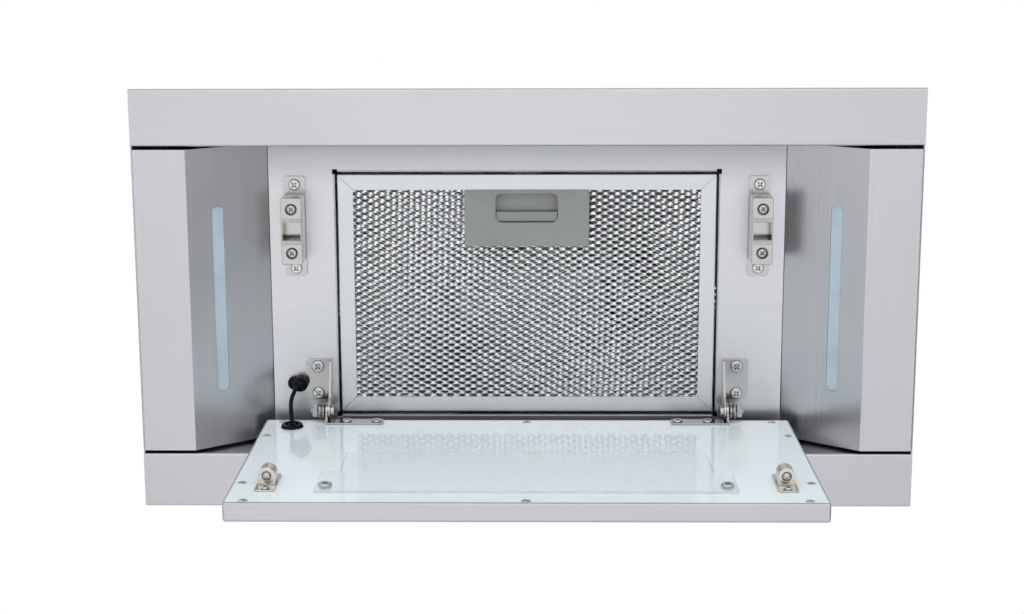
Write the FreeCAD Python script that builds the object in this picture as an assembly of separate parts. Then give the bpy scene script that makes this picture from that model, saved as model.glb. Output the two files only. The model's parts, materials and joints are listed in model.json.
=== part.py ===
"""Under cabinet range hood with a drop-down perimeter panel, in millimetres.

+Z is up as installed, the front of the hood faces -Y and +X is the user's right.
The origin is the centre of the top face, which is screwed up against a cabinet.
The panel is modelled hanging open, a quarter turn from its closed place.
"""
import FreeCAD
import Part
import math
import os

Vector = FreeCAD.Vector
Rotation = FreeCAD.Rotation
X_AXIS = Vector(1, 0, 0)
Y_AXIS = Vector(0, 1, 0)
Z_AXIS = Vector(0, 0, 1)
ORIGIN = Vector(0, 0, 0)

# ---- driving dimensions ----
WIDTH = 762.0
DEPTH = 418.0
HEIGHT = 230.0
FRONT_SET_BACK = 34.0
SHEET = 1.2
FIT_GAP = 0.1
BEND_RADIUS = 1.2

FRONT_BAND = 56.0
REAR_BAND = 55.0
SIDE_BAND = 52.0
RECESS_DEPTH = 51.0
PLATE_HALF_WIDTH = 257.0
SIDE_Y = (-150.0, 151.0)
FLANGE = 19.0
PLATE_FLANGE = 12.0

OPENING_HALF_WIDTH = 191.0
OPENING_Y = (-121.0, 129.0)
OPENING_LIP = 7.0
NOTCH = 5.0

FILTER_HALF_WIDTH = 188.5
FILTER_Y = (-118.5, 125.5)
FILTER_BAR = 15.6
FILTER_THICKNESS = 9.0
FILTER_PROUD = 2.0
FILTER_WALL = 1.0

HANDLE_HALF_WIDTH = 62.0
HANDLE_Y = (-102.9, -46.0)
HANDLE_THICKNESS = 2.4
POCKET_HALF_WIDTH = 31.0
POCKET_Y = (-99.7, -70.2)
POCKET_DEPTH = 7.6
SLIDER_Y = (-80.7, -70.6)
SLIDER_TRAVEL = 4.0
TONGUE_HALF_WIDTH = 12.0
SPRING_WIRE = 0.38
SPRING_PITCH = 1.7
SPRING_RADIUS = 2.0

PIVOT_Y = 118.4
PIVOT_DROP = 22.0
PIVOT_RADIUS = 3.0
PIVOT_CLEARANCE = 0.08
LUG_RADIUS = 8.0
LEG_X = 197.4
LEG_THICKNESS = 2.0
WORKING_GAP = 0.3

PANEL_HALF_WIDTH = 263.0
PANEL_LENGTH = 240.0
PANEL_THICKNESS = 17.5
PANEL_FACE_OFFSET = 11.5
PANEL_EDGE_ABOVE_PIVOT = 4.0
TRAY_LIP = 0.5
TRAY_RIM_RADIUS = 3.0
HEM_DEPTH = 5.0
COVER_HEIGHTS = (0.2, 2.2)
LINER_THICKNESS = 3.0

CATCH_X = 231.0
CATCH_Y = -66.1
CATCH_BASE = (21.6, 101.5, 2.0)
CATCH_BOX = (20.5, 66.5, 28.0)
CATCH_OPENING = 17.5
CATCH_CAVITY = (18.0, 21.6)
CATCH_LIP = 1.2
CATCH_RIDGES = ((9.5, 0.7), (12.3, 0.6))
RIDGE_HALF_LENGTH = 8.8
CATCH_INNER_DEPTH = 16.0
ADJUSTER_SPACING = 43.8
ADJUSTER_DEPTH = 3.6
STRIKER_X = 231.0
STRIKER_BASE = (18.0, 45.0, 1.5)
STRIKER_BARREL_LENGTH = 14.5
STRIKER_BARREL_RADIUS = 7.6
BALL_RADIUS = 4.25
BALL_HEIGHT = 9.5
BALL_PROUD = 2.5

LED_SLOT = (186.3, 12.8)
LED_CORNER_RADIUS = 5.2
LED_SLOT_ALONG = 32.5
LED_SLOT_Y = 1.65

DUCT_Y = 64.0
DUCT_RADIUS = 74.5
DUCT_HEIGHT = 45.0
DUCT_BORE_RADIUS = 73.4
PLATE_HOLE_RADIUS = 75.5
COLLAR_FLANGE = 15.0
COLLAR_SCREW_SPREAD = 83.0
COLLAR_SCREW_ANGLES = (35, 145, 215, 325)
COLLAR_SCREW_GRIP = 2.3
FLAP_RADIUS = 72.0
FLAP_Z = 20.0
FLAP_PIVOT_X = 4.0
FLAP_PIN_RADIUS = 1.5

FAN_Y = 20.0
FAN_Z = -88.0
WHEEL_RADIUS = 55.0
WHEEL_HALF_LENGTH = 68.0
RING_WIDTH = 3.0
RING_BORE_RADIUS = 44.5
HUB_DISC_RADIUS = 53.0
BLADE_COUNT = 32
SCROLL_HALF_WIDTH = 75.0
INLET_RADIUS = 47.0
MOTOR_RADIUS = 46.0
MOTOR_X = (82.0, 144.0)
SHAFT_RADIUS = 4.0

LEAD_DIAMETER = 4.2
LEAD_ROUTE = [
    (-231.2, 94.9, -193.5),
    (-232.6, 96.8, -203.0),
    (-235.6, 103.8, -212.3),
    (-235.0, 115.0, -217.7),
    (-234.0, 127.2, -218.9),
]
HOOD_GROMMET = (-230.4, 94.9)
GROMMET_NECK = 6.5
PANEL_GROMMET_HEIGHT = 3.4
GRIP_SPLIT_ANGLE = 60.0
EAR_SPLIT_ANGLE = -25.0

HOLE_SPACING = (660.0, 280.0)
HOLE_RADIUS = 3.5
KNOCKOUT = (270.0, 150.0)
KNOCKOUT_RADIUS = 11.1

# ---- worked out from the driving dimensions ----
HALF_WIDTH = WIDTH / 2
HALF_DEPTH = DEPTH / 2
FACE_Z = -HEIGHT
PLATE_Z = FACE_Z + RECESS_DEPTH
TOP_OF_WALLS = -SHEET - FIT_GAP
FLANGE_Z = -2 * SHEET
SCROLL_TOP = FLANGE_Z - FIT_GAP
FRONT_RETURN_Y = FRONT_BAND - HALF_DEPTH
REAR_RETURN_Y = HALF_DEPTH - REAR_BAND
FOLD_X = HALF_WIDTH - SIDE_BAND
PIVOT_Z = PLATE_Z - PIVOT_DROP
PANEL_FACE_Y = PIVOT_Y + PANEL_FACE_OFFSET
PANEL_EDGE_Z = PIVOT_Z + PANEL_EDGE_ABOVE_PIVOT
STRIKER_T = PIVOT_Y + PANEL_EDGE_ABOVE_PIVOT - CATCH_Y
FILTER_BOTTOM = PLATE_Z - FILTER_PROUD
FILTER_TOP = FILTER_BOTTOM + FILTER_THICKNESS
SCREW_RADIUS = 2.0


# ---- small helpers ----
def box(x, y, z):
    """A box from three (low, high) pairs."""
    return Part.makeBox(x[1] - x[0], y[1] - y[0], z[1] - z[0], Vector(x[0], y[0], z[0]))


def rod(radius, start, direction, length):
    """A round bar from a start point along a direction."""
    return Part.makeCylinder(radius, length, Vector(*start), direction)


def united(shapes):
    """One solid from several that touch or overlap."""
    shapes = list(shapes)
    return shapes[0].multiFuse(shapes[1:]).removeSplitter()


def mirrored(shape):
    """The same piece on the other side of the hood."""
    return shape.mirror(ORIGIN, X_AXIS)


def both_sides(shape):
    """A piece and its mirror image, as two separate solids."""
    return Part.makeCompound(shape.Solids + mirrored(shape).Solids)


def rounded_face(points, radii):
    """A flat face with straight sides, whose corners are arcs of the given radii."""
    count = len(points)
    starts, ends, middles = [], [], []
    for i, corner in enumerate(points):
        before = (points[i - 1] - corner).normalize()
        after = (points[(i + 1) % count] - corner).normalize()
        angle = before.getAngle(after)
        back = radii[i] / math.tan(angle / 2)
        starts.append(corner + before * back)
        ends.append(corner + after * back)
        if radii[i] > 0:
            inward = (before + after).normalize()
            middles.append(corner + inward * (radii[i] / math.sin(angle / 2) - radii[i]))
        else:
            middles.append(None)
    edges = []
    for i in range(count):
        if middles[i] is not None:
            edges.append(Part.Arc(starts[i], middles[i], ends[i]).toShape())
        following = starts[(i + 1) % count]
        if (following - ends[i]).Length > 1e-6:
            edges.append(Part.LineSegment(ends[i], following).toShape())
    return Part.Face(Part.Wire(edges))


def rounded_slab(x, y, z, radius):
    """A flat slab with its four upright corners rounded."""
    corners = [(x[0], y[0]), (x[1], y[0]), (x[1], y[1]), (x[0], y[1])]
    face = rounded_face([Vector(a, b, z[0]) for a, b in corners], [radius] * 4)
    return face.extrude(Vector(0, 0, z[1] - z[0]))


def folded_sheet(path, lift, along, length, thickness=SHEET):
    """Sheet metal folded along a path of points, its thickness on the path's left.

    lift turns each (a, b) pair of the path into a point, and the sheet runs along a direction.
    """
    count = len(path)
    flat = [Vector(a, b, 0) for a, b in path]
    steps = [(flat[i + 1] - flat[i]).normalize() for i in range(count - 1)]
    lefts = [Vector(-s.y, s.x, 0) for s in steps]
    near, far, near_radii, far_radii = [], [], [], []
    for i, point in enumerate(flat):
        if i in (0, count - 1):
            side = lefts[min(i, count - 2)]
            near_radii.append(0)
            far_radii.append(0)
            far.append(point + side * thickness)
        else:
            middle = (lefts[i - 1] + lefts[i]).normalize()
            far.append(point + middle * (thickness / middle.dot(lefts[i])))
            turns_left = steps[i - 1].cross(steps[i]).z > 0
            near_radii.append(BEND_RADIUS + thickness if turns_left else BEND_RADIUS)
            far_radii.append(BEND_RADIUS if turns_left else BEND_RADIUS + thickness)
        near.append(point)
    outline = near + far[::-1]
    radii = near_radii + far_radii[::-1]
    face = rounded_face([lift(p.x, p.y) for p in outline], radii)
    return face.extrude(along * length)


def aimed(shape, point, direction):
    """A piece built on the origin along +Z, moved to a point and turned along a direction."""
    shape = shape.copy()
    shape.Placement = FreeCAD.Placement(Vector(*point), Rotation(Z_AXIS, direction))
    return shape


def pan_screw(point, direction, head=5.2, height=2.4, grip=6.0, radius=SCREW_RADIUS):
    """A cross-head screw: its head stands out along the direction, its shank goes back."""
    cap = Part.makeCylinder(head, height)
    top = [e for e in cap.Edges if e.BoundBox.ZMin > height - 1e-6]
    cap = cap.makeFillet(height * 0.55, top)
    shank = Part.makeCylinder(radius, grip + 0.5, Vector(0, 0, -grip))
    screw = cap.fuse(shank)
    width, depth = head * 0.27, height * 0.7
    for angle in (45, 135):
        corner = Vector(-head * 0.55, -width / 2, height - depth)
        slot = Part.makeBox(head * 1.1, width, depth, corner)
        slot.rotate(ORIGIN, Z_AXIS, angle)
        screw = screw.cut(slot)
    return aimed(screw, point, direction)


def drilled(shape, points, direction, radius=SCREW_RADIUS, depth=20.0):
    """The shape with a hole through it at each point, along a direction."""
    for point in points:
        start = Vector(*point) - direction * depth / 2
        shape = shape.cut(Part.makeCylinder(radius, depth, start, direction))
    return shape


def on_panel(x, t, height):
    """A box on the open panel: t runs down from its rear edge, height out of its liner."""
    y = (PANEL_FACE_Y - height[1], PANEL_FACE_Y - height[0])
    z = (PANEL_EDGE_Z - t[1], PANEL_EDGE_Z - t[0])
    return box(x, y, z)


def panel_point(x, t, height=0.0):
    """A point on the open panel, in the hood's frame."""
    return (x, PANEL_FACE_Y - height, PANEL_EDGE_Z - t)


# ---- outer shell ----
def front_y(z, inset=0.0):
    """Y of the front wall, which leans back, at a height and a distance inside its outer face."""
    lean = FRONT_SET_BACK / HEIGHT
    return inset * math.hypot(1, lean) - HALF_DEPTH + lean * (z - FACE_Z)


def bar_along_x(points, x):
    """A bar between two values of X, from its (Y, Z) outline."""
    face = rounded_face([Vector(x[0], y, z) for y, z in points], [0] * len(points))
    return face.extrude(X_AXIS * (x[1] - x[0]))


def fascia(front):
    """Front or rear wall, with its band on the underside and its fold up to the recess."""
    sign = -1 if front else 1
    return_y = FRONT_RETURN_Y if front else REAR_RETURN_Y
    top_y = front_y(TOP_OF_WALLS) if front else HALF_DEPTH
    path = [
        (top_y - sign * FLANGE, TOP_OF_WALLS),
        (top_y, TOP_OF_WALLS),
        (sign * HALF_DEPTH, FACE_Z),
        (return_y, FACE_Z),
        (return_y, PLATE_Z + PLATE_FLANGE),
    ]
    if not front:
        path.reverse()
    sheet = folded_sheet(path, lambda a, b: Vector(-HALF_WIDTH, a, b), X_AXIS, WIDTH)
    inset = SHEET + FIT_GAP
    low, high = FACE_Z + inset, 1.0
    low_y = front_y(low, inset) if front else HALF_DEPTH - inset
    high_y = front_y(high, inset) if front else HALF_DEPTH - inset
    behind = sign * (abs(return_y) - 3)
    outline = [(low_y, low), (behind, low), (behind, high), (high_y, high)]
    for side in (-1, 1):
        x = sorted((side * (HALF_WIDTH - inset), side * (HALF_WIDTH + 1)))
        sheet = sheet.cut(bar_along_x(outline, x))
    return sheet


SLOPE = Vector(PLATE_HALF_WIDTH - FOLD_X, 0, RECESS_DEPTH).normalize()
SLOPE_NORMAL = Vector(SLOPE.z, 0, -SLOPE.x)


def on_slope(along, across, y, length):
    """A bar on the right-hand sloping lamp panel, from (low, high) pairs along and into it."""
    fold = Vector(FOLD_X, y, FACE_Z)
    pairs = ((0, 0), (1, 0), (1, 1), (0, 1))
    points = [fold + SLOPE * along[i] + SLOPE_NORMAL * across[j] for i, j in pairs]
    return rounded_face(points, [0] * 4).extrude(Y_AXIS * length)


def lamp_slot(width, length, across, radius):
    """A round-cornered bar through the lamp panel, where its slot is."""
    bar = on_slope(
        (LED_SLOT_ALONG - width / 2, LED_SLOT_ALONG + width / 2),
        across,
        LED_SLOT_Y - length / 2,
        length,
    )
    upright = [e for e in bar.Edges if abs(e.tangentAt(e.FirstParameter).dot(SLOPE_NORMAL)) > 0.999]
    return bar.makeFillet(radius, upright)


def side_panel():
    """Right-hand side wall, its band on the underside and its sloping lamp panel."""
    wall_y = HALF_DEPTH - SHEET - FIT_GAP
    wall_path = [
        (HALF_WIDTH, FACE_Z + SHEET + FIT_GAP),
        (HALF_WIDTH, TOP_OF_WALLS),
        (HALF_WIDTH - FLANGE, TOP_OF_WALLS),
    ]
    wall = folded_sheet(wall_path, lambda a, b: Vector(a, -wall_y, b), Y_AXIS, 2 * wall_y)
    notch_y = front_y(TOP_OF_WALLS) + FLANGE + 2
    for y in ((-wall_y - 1, notch_y), (HALF_DEPTH - FLANGE - 2, wall_y + 1)):
        corner = (HALF_WIDTH - FLANGE - 1, HALF_WIDTH - SHEET)
        wall = wall.cut(box(corner, y, (TOP_OF_WALLS - SHEET - BEND_RADIUS, 1)))
    low, high, inset = FACE_Z - 5, 5.0, SHEET + FIT_GAP
    ahead = -HALF_DEPTH - 5
    outline = [(ahead, low), (front_y(low, inset), low), (front_y(high, inset), high), (ahead, high)]
    wall = wall.cut(bar_along_x(outline, (HALF_WIDTH - FLANGE - 2, HALF_WIDTH + 1)))
    plate_edge = PLATE_HALF_WIDTH + FIT_GAP
    lower_path = [
        (plate_edge, PLATE_Z + PLATE_FLANGE),
        (plate_edge, PLATE_Z),
        (FOLD_X, FACE_Z),
        (HALF_WIDTH, FACE_Z),
        (HALF_WIDTH, FACE_Z + 12),
    ]
    length = SIDE_Y[1] - SIDE_Y[0]
    lower = folded_sheet(lower_path, lambda a, b: Vector(a, SIDE_Y[0], b), Y_AXIS, length)
    slot = lamp_slot(LED_SLOT[1], LED_SLOT[0], (-5, 5), LED_CORNER_RADIUS)
    return united([wall, lower]).cut(slot)


def top_plate():
    """Lid of the hood, with the duct hole, four screw holes and a wiring knockout."""
    plate = box((-HALF_WIDTH, HALF_WIDTH), (front_y(0), HALF_DEPTH), (-SHEET, 0))
    plate = plate.cut(rod(PLATE_HOLE_RADIUS, (0, DUCT_Y, -5), Z_AXIS, 10))
    spots = [(x * HOLE_SPACING[0] / 2, y * HOLE_SPACING[1] / 2, 0) for x in (-1, 1) for y in (-1, 1)]
    plate = drilled(plate, spots, Z_AXIS, HOLE_RADIUS)
    plate = drilled(plate, [(*KNOCKOUT, 0)], Z_AXIS, KNOCKOUT_RADIUS)
    return drilled(plate, collar_screw_points(), Z_AXIS)


def recess_plate():
    """Plate at the back of the recess, flanged all round, with the filter's opening."""
    y = (FRONT_RETURN_Y + FIT_GAP, REAR_RETURN_Y - FIT_GAP)
    x = (-PLATE_HALF_WIDTH, PLATE_HALF_WIDTH)
    plate = box(x, y, (PLATE_Z, PLATE_Z + PLATE_FLANGE))
    inner_x = (x[0] + SHEET, x[1] - SHEET)
    inner_y = (y[0] + SHEET, y[1] - SHEET)
    plate = plate.cut(box(inner_x, inner_y, (PLATE_Z + SHEET, 0)))
    hole_x = (-OPENING_HALF_WIDTH, OPENING_HALF_WIDTH)
    lip_x = (hole_x[0] - SHEET, hole_x[1] + SHEET)
    lip_y = (OPENING_Y[0] - SHEET, OPENING_Y[1] + SHEET)
    lip = box(lip_x, lip_y, (PLATE_Z, PLATE_Z + OPENING_LIP))
    lip = lip.makeFillet(1.0, [e for e in lip.Edges if e.BoundBox.ZMax < PLATE_Z + 1e-6])
    plate = plate.cut(box(lip_x, lip_y, (PLATE_Z - 1, 0))).fuse(lip)
    plate = plate.cut(box(hole_x, OPENING_Y, (PLATE_Z - 1, 0)))
    for corner_x in hole_x:
        for corner_y in OPENING_Y:
            near_x = (corner_x - NOTCH / 2, corner_x + NOTCH / 2)
            near_y = (corner_y - NOTCH / 2, corner_y + NOTCH / 2)
            plate = plate.cut(box(near_x, near_y, (PLATE_Z - 1, 0)))
    plate = drilled(plate, catch_screw_points() + bracket_screw_points(), Z_AXIS)
    return drilled(plate, [(*HOOD_GROMMET, PLATE_Z)], Z_AXIS, GROMMET_NECK)


# ---- duct collar and back-draught flaps ----
def collar_screw_points():
    """Four screws up through the collar's flange into the top plate."""
    spots = []
    for angle in COLLAR_SCREW_ANGLES:
        x = COLLAR_SCREW_SPREAD * math.cos(math.radians(angle))
        y = DUCT_Y + COLLAR_SCREW_SPREAD * math.sin(math.radians(angle))
        spots.append((x, y, FLANGE_Z))
    return spots


def duct_collar():
    """Round spigot that the duct slides over, flanged under the top plate, with the flaps' pivot holes."""
    flange = rod(DUCT_RADIUS + COLLAR_FLANGE, (0, DUCT_Y, FLANGE_Z), Z_AXIS, SHEET)
    spigot = rod(DUCT_RADIUS, (0, DUCT_Y, FLANGE_Z), Z_AXIS, DUCT_HEIGHT - FLANGE_Z)
    rim = [e for e in spigot.Edges if e.BoundBox.ZMin > DUCT_HEIGHT - 1e-6]
    collar = flange.fuse(spigot.makeFillet(0.5, rim))
    collar = collar.cut(rod(DUCT_BORE_RADIUS, (0, DUCT_Y, FLANGE_Z - 1), Z_AXIS, DUCT_HEIGHT + 5))
    for x in (-FLAP_PIVOT_X, FLAP_PIVOT_X):
        start = (x, DUCT_Y - DUCT_RADIUS - 5, FLAP_Z)
        hole = rod(FLAP_PIN_RADIUS + PIVOT_CLEARANCE, start, Y_AXIS, 2 * DUCT_RADIUS + 10)
        collar = collar.cut(hole)
    return drilled(collar, collar_screw_points(), Z_AXIS)


def damper_flap():
    """Right-hand half of the back-draught damper, with the pin that it swings on."""
    disc = rod(FLAP_RADIUS, (0, DUCT_Y, FLAP_Z - 0.5), Z_AXIS, 1.0)
    half = disc.common(box((FLAP_PIVOT_X, 100), (DUCT_Y - 100, DUCT_Y + 100), (0, 60)))
    length = 2 * DUCT_RADIUS - 0.8
    pin = rod(FLAP_PIN_RADIUS, (FLAP_PIVOT_X, DUCT_Y - length / 2, FLAP_Z), Y_AXIS, length)
    barrel = rod(2.6, (FLAP_PIVOT_X, DUCT_Y - 66, FLAP_Z), Y_AXIS, 132)
    return united([half, barrel, pin])


# ---- lamps ----
def lamp_lens():
    """Channel-shaped diffuser that fills the right-hand lamp slot."""
    width, length = LED_SLOT[1] - 0.4, LED_SLOT[0] - 0.4
    window = lamp_slot(width, length, (0.8, 2.0), LED_CORNER_RADIUS - 0.2)
    middle = LED_SLOT_ALONG
    start = LED_SLOT_Y - length / 2 - 2
    flange = on_slope((middle - 9, middle + 9), (SHEET + 0.05, 2.8), start, length + 4)
    left = on_slope((middle - 9, middle - 7.6), (2.6, 6.0), start, length + 4)
    right = on_slope((middle + 7.6, middle + 9), (2.6, 6.0), start, length + 4)
    return united([window, flange, left, right])


def lamp_board():
    """Right-hand lamp's circuit board on top of its diffuser, with a row of chips."""
    middle = LED_SLOT_ALONG
    length = LED_SLOT[0]
    start = LED_SLOT_Y - length / 2
    board = on_slope((middle - 9, middle + 9), (6.0, 7.2), start, length)
    chips = []
    count = 12
    for i in range(count):
        y = start + (i + 0.5) * length / count - 1.5
        chips.append(on_slope((middle - 1.5, middle + 1.5), (5.2, 6.0), y, 3.0))
    return Part.makeCompound([board] + chips)


def led_driver():
    """Sealed supply for the lamps, under the top plate."""
    case = box((215, 325), (-70, -28), (-30, TOP_OF_WALLS))
    upright = [e for e in case.Edges if abs(e.tangentAt(e.FirstParameter).z) > 0.9]
    return case.makeFillet(3.0, upright)


# ---- fan ----
def scroll_outline(clearance):
    """Side view of the scroll: arcs that open out from the tongue round to the outlet."""
    y, z = FAN_Y, FAN_Z
    tongue = WHEEL_RADIUS + 5 + clearance
    left, bottom, right = 64 + clearance, 72 + clearance, 80 + clearance
    wall = 8 - clearance
    top = SCROLL_TOP
    start = Vector(0, y + wall, z + tongue)
    points = [
        Vector(0, y - left, z),
        Vector(0, y, z - bottom),
        Vector(0, y + right, z),
    ]
    diagonal = math.sqrt(0.5)
    near_left = Vector(0, y - 62.5 * diagonal - clearance * diagonal, z + (62.5 + clearance) * diagonal)
    low_left = Vector(0, y - (68.5 + clearance) * diagonal, z - (68.5 + clearance) * diagonal)
    low_right = Vector(0, y + (77 + clearance) * diagonal, z - (77 + clearance) * diagonal)
    edges = [
        Part.Arc(start, near_left, points[0]).toShape(),
        Part.Arc(points[0], low_left, points[1]).toShape(),
        Part.Arc(points[1], low_right, points[2]).toShape(),
        Part.LineSegment(points[2], Vector(0, y + right, top)).toShape(),
        Part.LineSegment(Vector(0, y + right, top), Vector(0, y + wall, top)).toShape(),
        Part.LineSegment(Vector(0, y + wall, top), start).toShape(),
    ]
    return Part.Face(Part.Wire(edges))


def scroll_solid(clearance, x):
    """The scroll's outline, grown by a clearance, between two values of X."""
    face = scroll_outline(clearance)
    face.translate(Vector(x[0], 0, 0))
    return face.extrude(Vector(x[1] - x[0], 0, 0))


def scroll_wrapper():
    """Sheet wrapped round the fan, open at its outlet."""
    width = (-SCROLL_HALF_WIDTH, SCROLL_HALF_WIDTH)
    inner = scroll_solid(0.0, (-SCROLL_HALF_WIDTH - 1, SCROLL_HALF_WIDTH + 1))
    mouth = box(
        (-SCROLL_HALF_WIDTH - 1, SCROLL_HALF_WIDTH + 1),
        (FAN_Y + 8, FAN_Y + 80),
        (-10, 5),
    )
    return scroll_solid(SHEET, width).cut(inner).cut(mouth)


def scroll_side():
    """Right-hand cheek of the scroll, with a bell-mouthed inlet."""
    x = (SCROLL_HALF_WIDTH + 0.02, SCROLL_HALF_WIDTH + SHEET)
    cheek = scroll_solid(SHEET + 4, x)
    ring = rod(INLET_RADIUS + 2.5, (SCROLL_HALF_WIDTH - 3, FAN_Y, FAN_Z), X_AXIS, 4.1)
    cheek = cheek.fuse(ring)
    return cheek.cut(rod(INLET_RADIUS, (SCROLL_HALF_WIDTH - 5, FAN_Y, FAN_Z), X_AXIS, 10))


def wheel_blades():
    """Forward-curved blades of the double-inlet squirrel-cage wheel, between its rings."""
    reach = WHEEL_HALF_LENGTH - RING_WIDTH
    blades = []
    for i in range(BLADE_COUNT):
        blade = box((-reach, reach), (FAN_Y + 44, FAN_Y + WHEEL_RADIUS - 0.8), (FAN_Z - 0.5, FAN_Z + 0.5))
        blade.rotate(Vector(0, FAN_Y + 49, FAN_Z), X_AXIS, 28)
        blade.rotate(Vector(0, FAN_Y, FAN_Z), X_AXIS, i * 360 / BLADE_COUNT)
        blades.append(blade)
    return Part.makeCompound(blades)


def wheel_hub():
    """Centre disc of the wheel, notched for the blades, with the boss on the shaft."""
    centre = (FAN_Y, FAN_Z)
    hub = rod(HUB_DISC_RADIUS, (-1, *centre), X_AXIS, 2).fuse(rod(11, (-9, *centre), X_AXIS, 18))
    return hub.cut(wheel_blades()).cut(rod(SHAFT_RADIUS, (-20, *centre), X_AXIS, 40))


def wheel_rings():
    """End rings that hold the blades."""
    rings = []
    for x in (-WHEEL_HALF_LENGTH, WHEEL_HALF_LENGTH - RING_WIDTH):
        ring = rod(WHEEL_RADIUS, (x, FAN_Y, FAN_Z), X_AXIS, RING_WIDTH)
        rings.append(ring.cut(rod(RING_BORE_RADIUS, (x - 1, FAN_Y, FAN_Z), X_AXIS, 5)))
    return Part.makeCompound(rings)


def impeller_shaft():
    """Shaft from the motor to the wheel's hub."""
    return rod(SHAFT_RADIUS, (-12, FAN_Y, FAN_Z), X_AXIS, MOTOR_X[0] + 20 + 12)


def motor():
    """Motor can with a bearing boss at the wheel's end and ribs at the back."""
    length = MOTOR_X[1] - MOTOR_X[0]
    can = rod(MOTOR_RADIUS - 0.1, (MOTOR_X[0] + 4, FAN_Y, FAN_Z), X_AXIS, length - 4)
    can = can.makeFillet(4.0, [e for e in can.Edges if e.Length > 100 and e.BoundBox.XLength < 1e-3])
    boss = rod(12, (MOTOR_X[0], FAN_Y, FAN_Z), X_AXIS, 8)
    bore = rod(SHAFT_RADIUS + 0.05, (MOTOR_X[0] - 1, FAN_Y, FAN_Z), X_AXIS, 22.5)
    return can.fuse(boss).cut(bore)


def motor_bracket():
    """Clamp ring round the motor, on three arms from the scroll's cheek."""
    x = MOTOR_X[0] + 12
    ring = rod(MOTOR_RADIUS + 3, (x, FAN_Y, FAN_Z), X_AXIS, 10)
    ring = ring.cut(rod(MOTOR_RADIUS, (x - 1, FAN_Y, FAN_Z), X_AXIS, 12))
    pieces = [ring]
    cheek = SCROLL_HALF_WIDTH + SHEET + 0.02
    for angle in (30, 150, 270):
        arm = box((x, x + 2), (FAN_Y - 6, FAN_Y + 6), (FAN_Z + MOTOR_RADIUS + 1, FAN_Z + 62))
        leg = box((cheek, x + 2), (FAN_Y - 6, FAN_Y + 6), (FAN_Z + 60, FAN_Z + 62))
        piece = arm.fuse(leg)
        piece.rotate(Vector(0, FAN_Y, FAN_Z), X_AXIS, angle)
        pieces.append(piece)
    return united(pieces)


# ---- electrics ----
CONTROL_BOX = ((-310.0, -180.0), (-80.0, 70.0), (-50.0, TOP_OF_WALLS))


def control_box():
    """Wiring and control box, open below."""
    x, y, z = CONTROL_BOX
    case = box(x, y, z)
    return case.cut(box((x[0] + 1.2, x[1] - 1.2), (y[0] + 1.2, y[1] - 1.2), (z[0] - 1, z[1] - 1.2)))


def control_box_lid():
    """Lid on the underside of the control box."""
    x, y, z = CONTROL_BOX
    return box((x[0] - 2, x[1] + 2), (y[0] - 2, y[1] + 2), (z[0] - 1.25, z[0] - 0.05))


def control_board():
    """Control circuit board, with its transformer and relays."""
    x, y, z = CONTROL_BOX
    board = box((x[0] + 8, x[1] - 8), (y[0] + 8, y[1] - 8), (z[0] + 8, z[0] + 9.6))
    transformer = box((-295, -255), (-60, -20), (z[0] + 9.6, z[0] + 38))
    relays = [box((-225, -205), (y0, y0 + 16), (z[0] + 9.6, z[0] + 26)) for y0 in (-55, -30, -5)]
    return united([board, transformer] + relays)


def capacitor():
    """Motor run capacitor in its clip."""
    can = rod(17.0, (-160, -95, -24), X_AXIS, 60)
    clip = box((-140, -120), (-113, -77), (-8, TOP_OF_WALLS))
    return united([can, clip])


# ---- catches on the recess plate ----
def catch_screw_points():
    """Ends of both catch bases."""
    reach = 42.3
    base = PLATE_Z - CATCH_BASE[2]
    return [(s * CATCH_X, CATCH_Y + t * reach, base) for s in (-1, 1) for t in (-1, 1)]


def adjuster_points():
    """The two adjusters of the right-hand catch."""
    base = PLATE_Z - CATCH_BASE[2] - CATCH_BOX[2] + ADJUSTER_DEPTH
    return [(CATCH_X, CATCH_Y + t * ADJUSTER_SPACING / 2, base) for t in (-1, 1)]


def catch_base():
    """Right-hand catch's strap, screwed to the recess plate."""
    half_x, half_y = CATCH_BASE[0] / 2, CATCH_BASE[1] / 2
    x = (CATCH_X - half_x, CATCH_X + half_x)
    y = (CATCH_Y - half_y, CATCH_Y + half_y)
    base = rounded_slab(x, y, (PLATE_Z - CATCH_BASE[2], PLATE_Z), 3.5)
    return drilled(base, catch_screw_points(), Z_AXIS)


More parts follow.
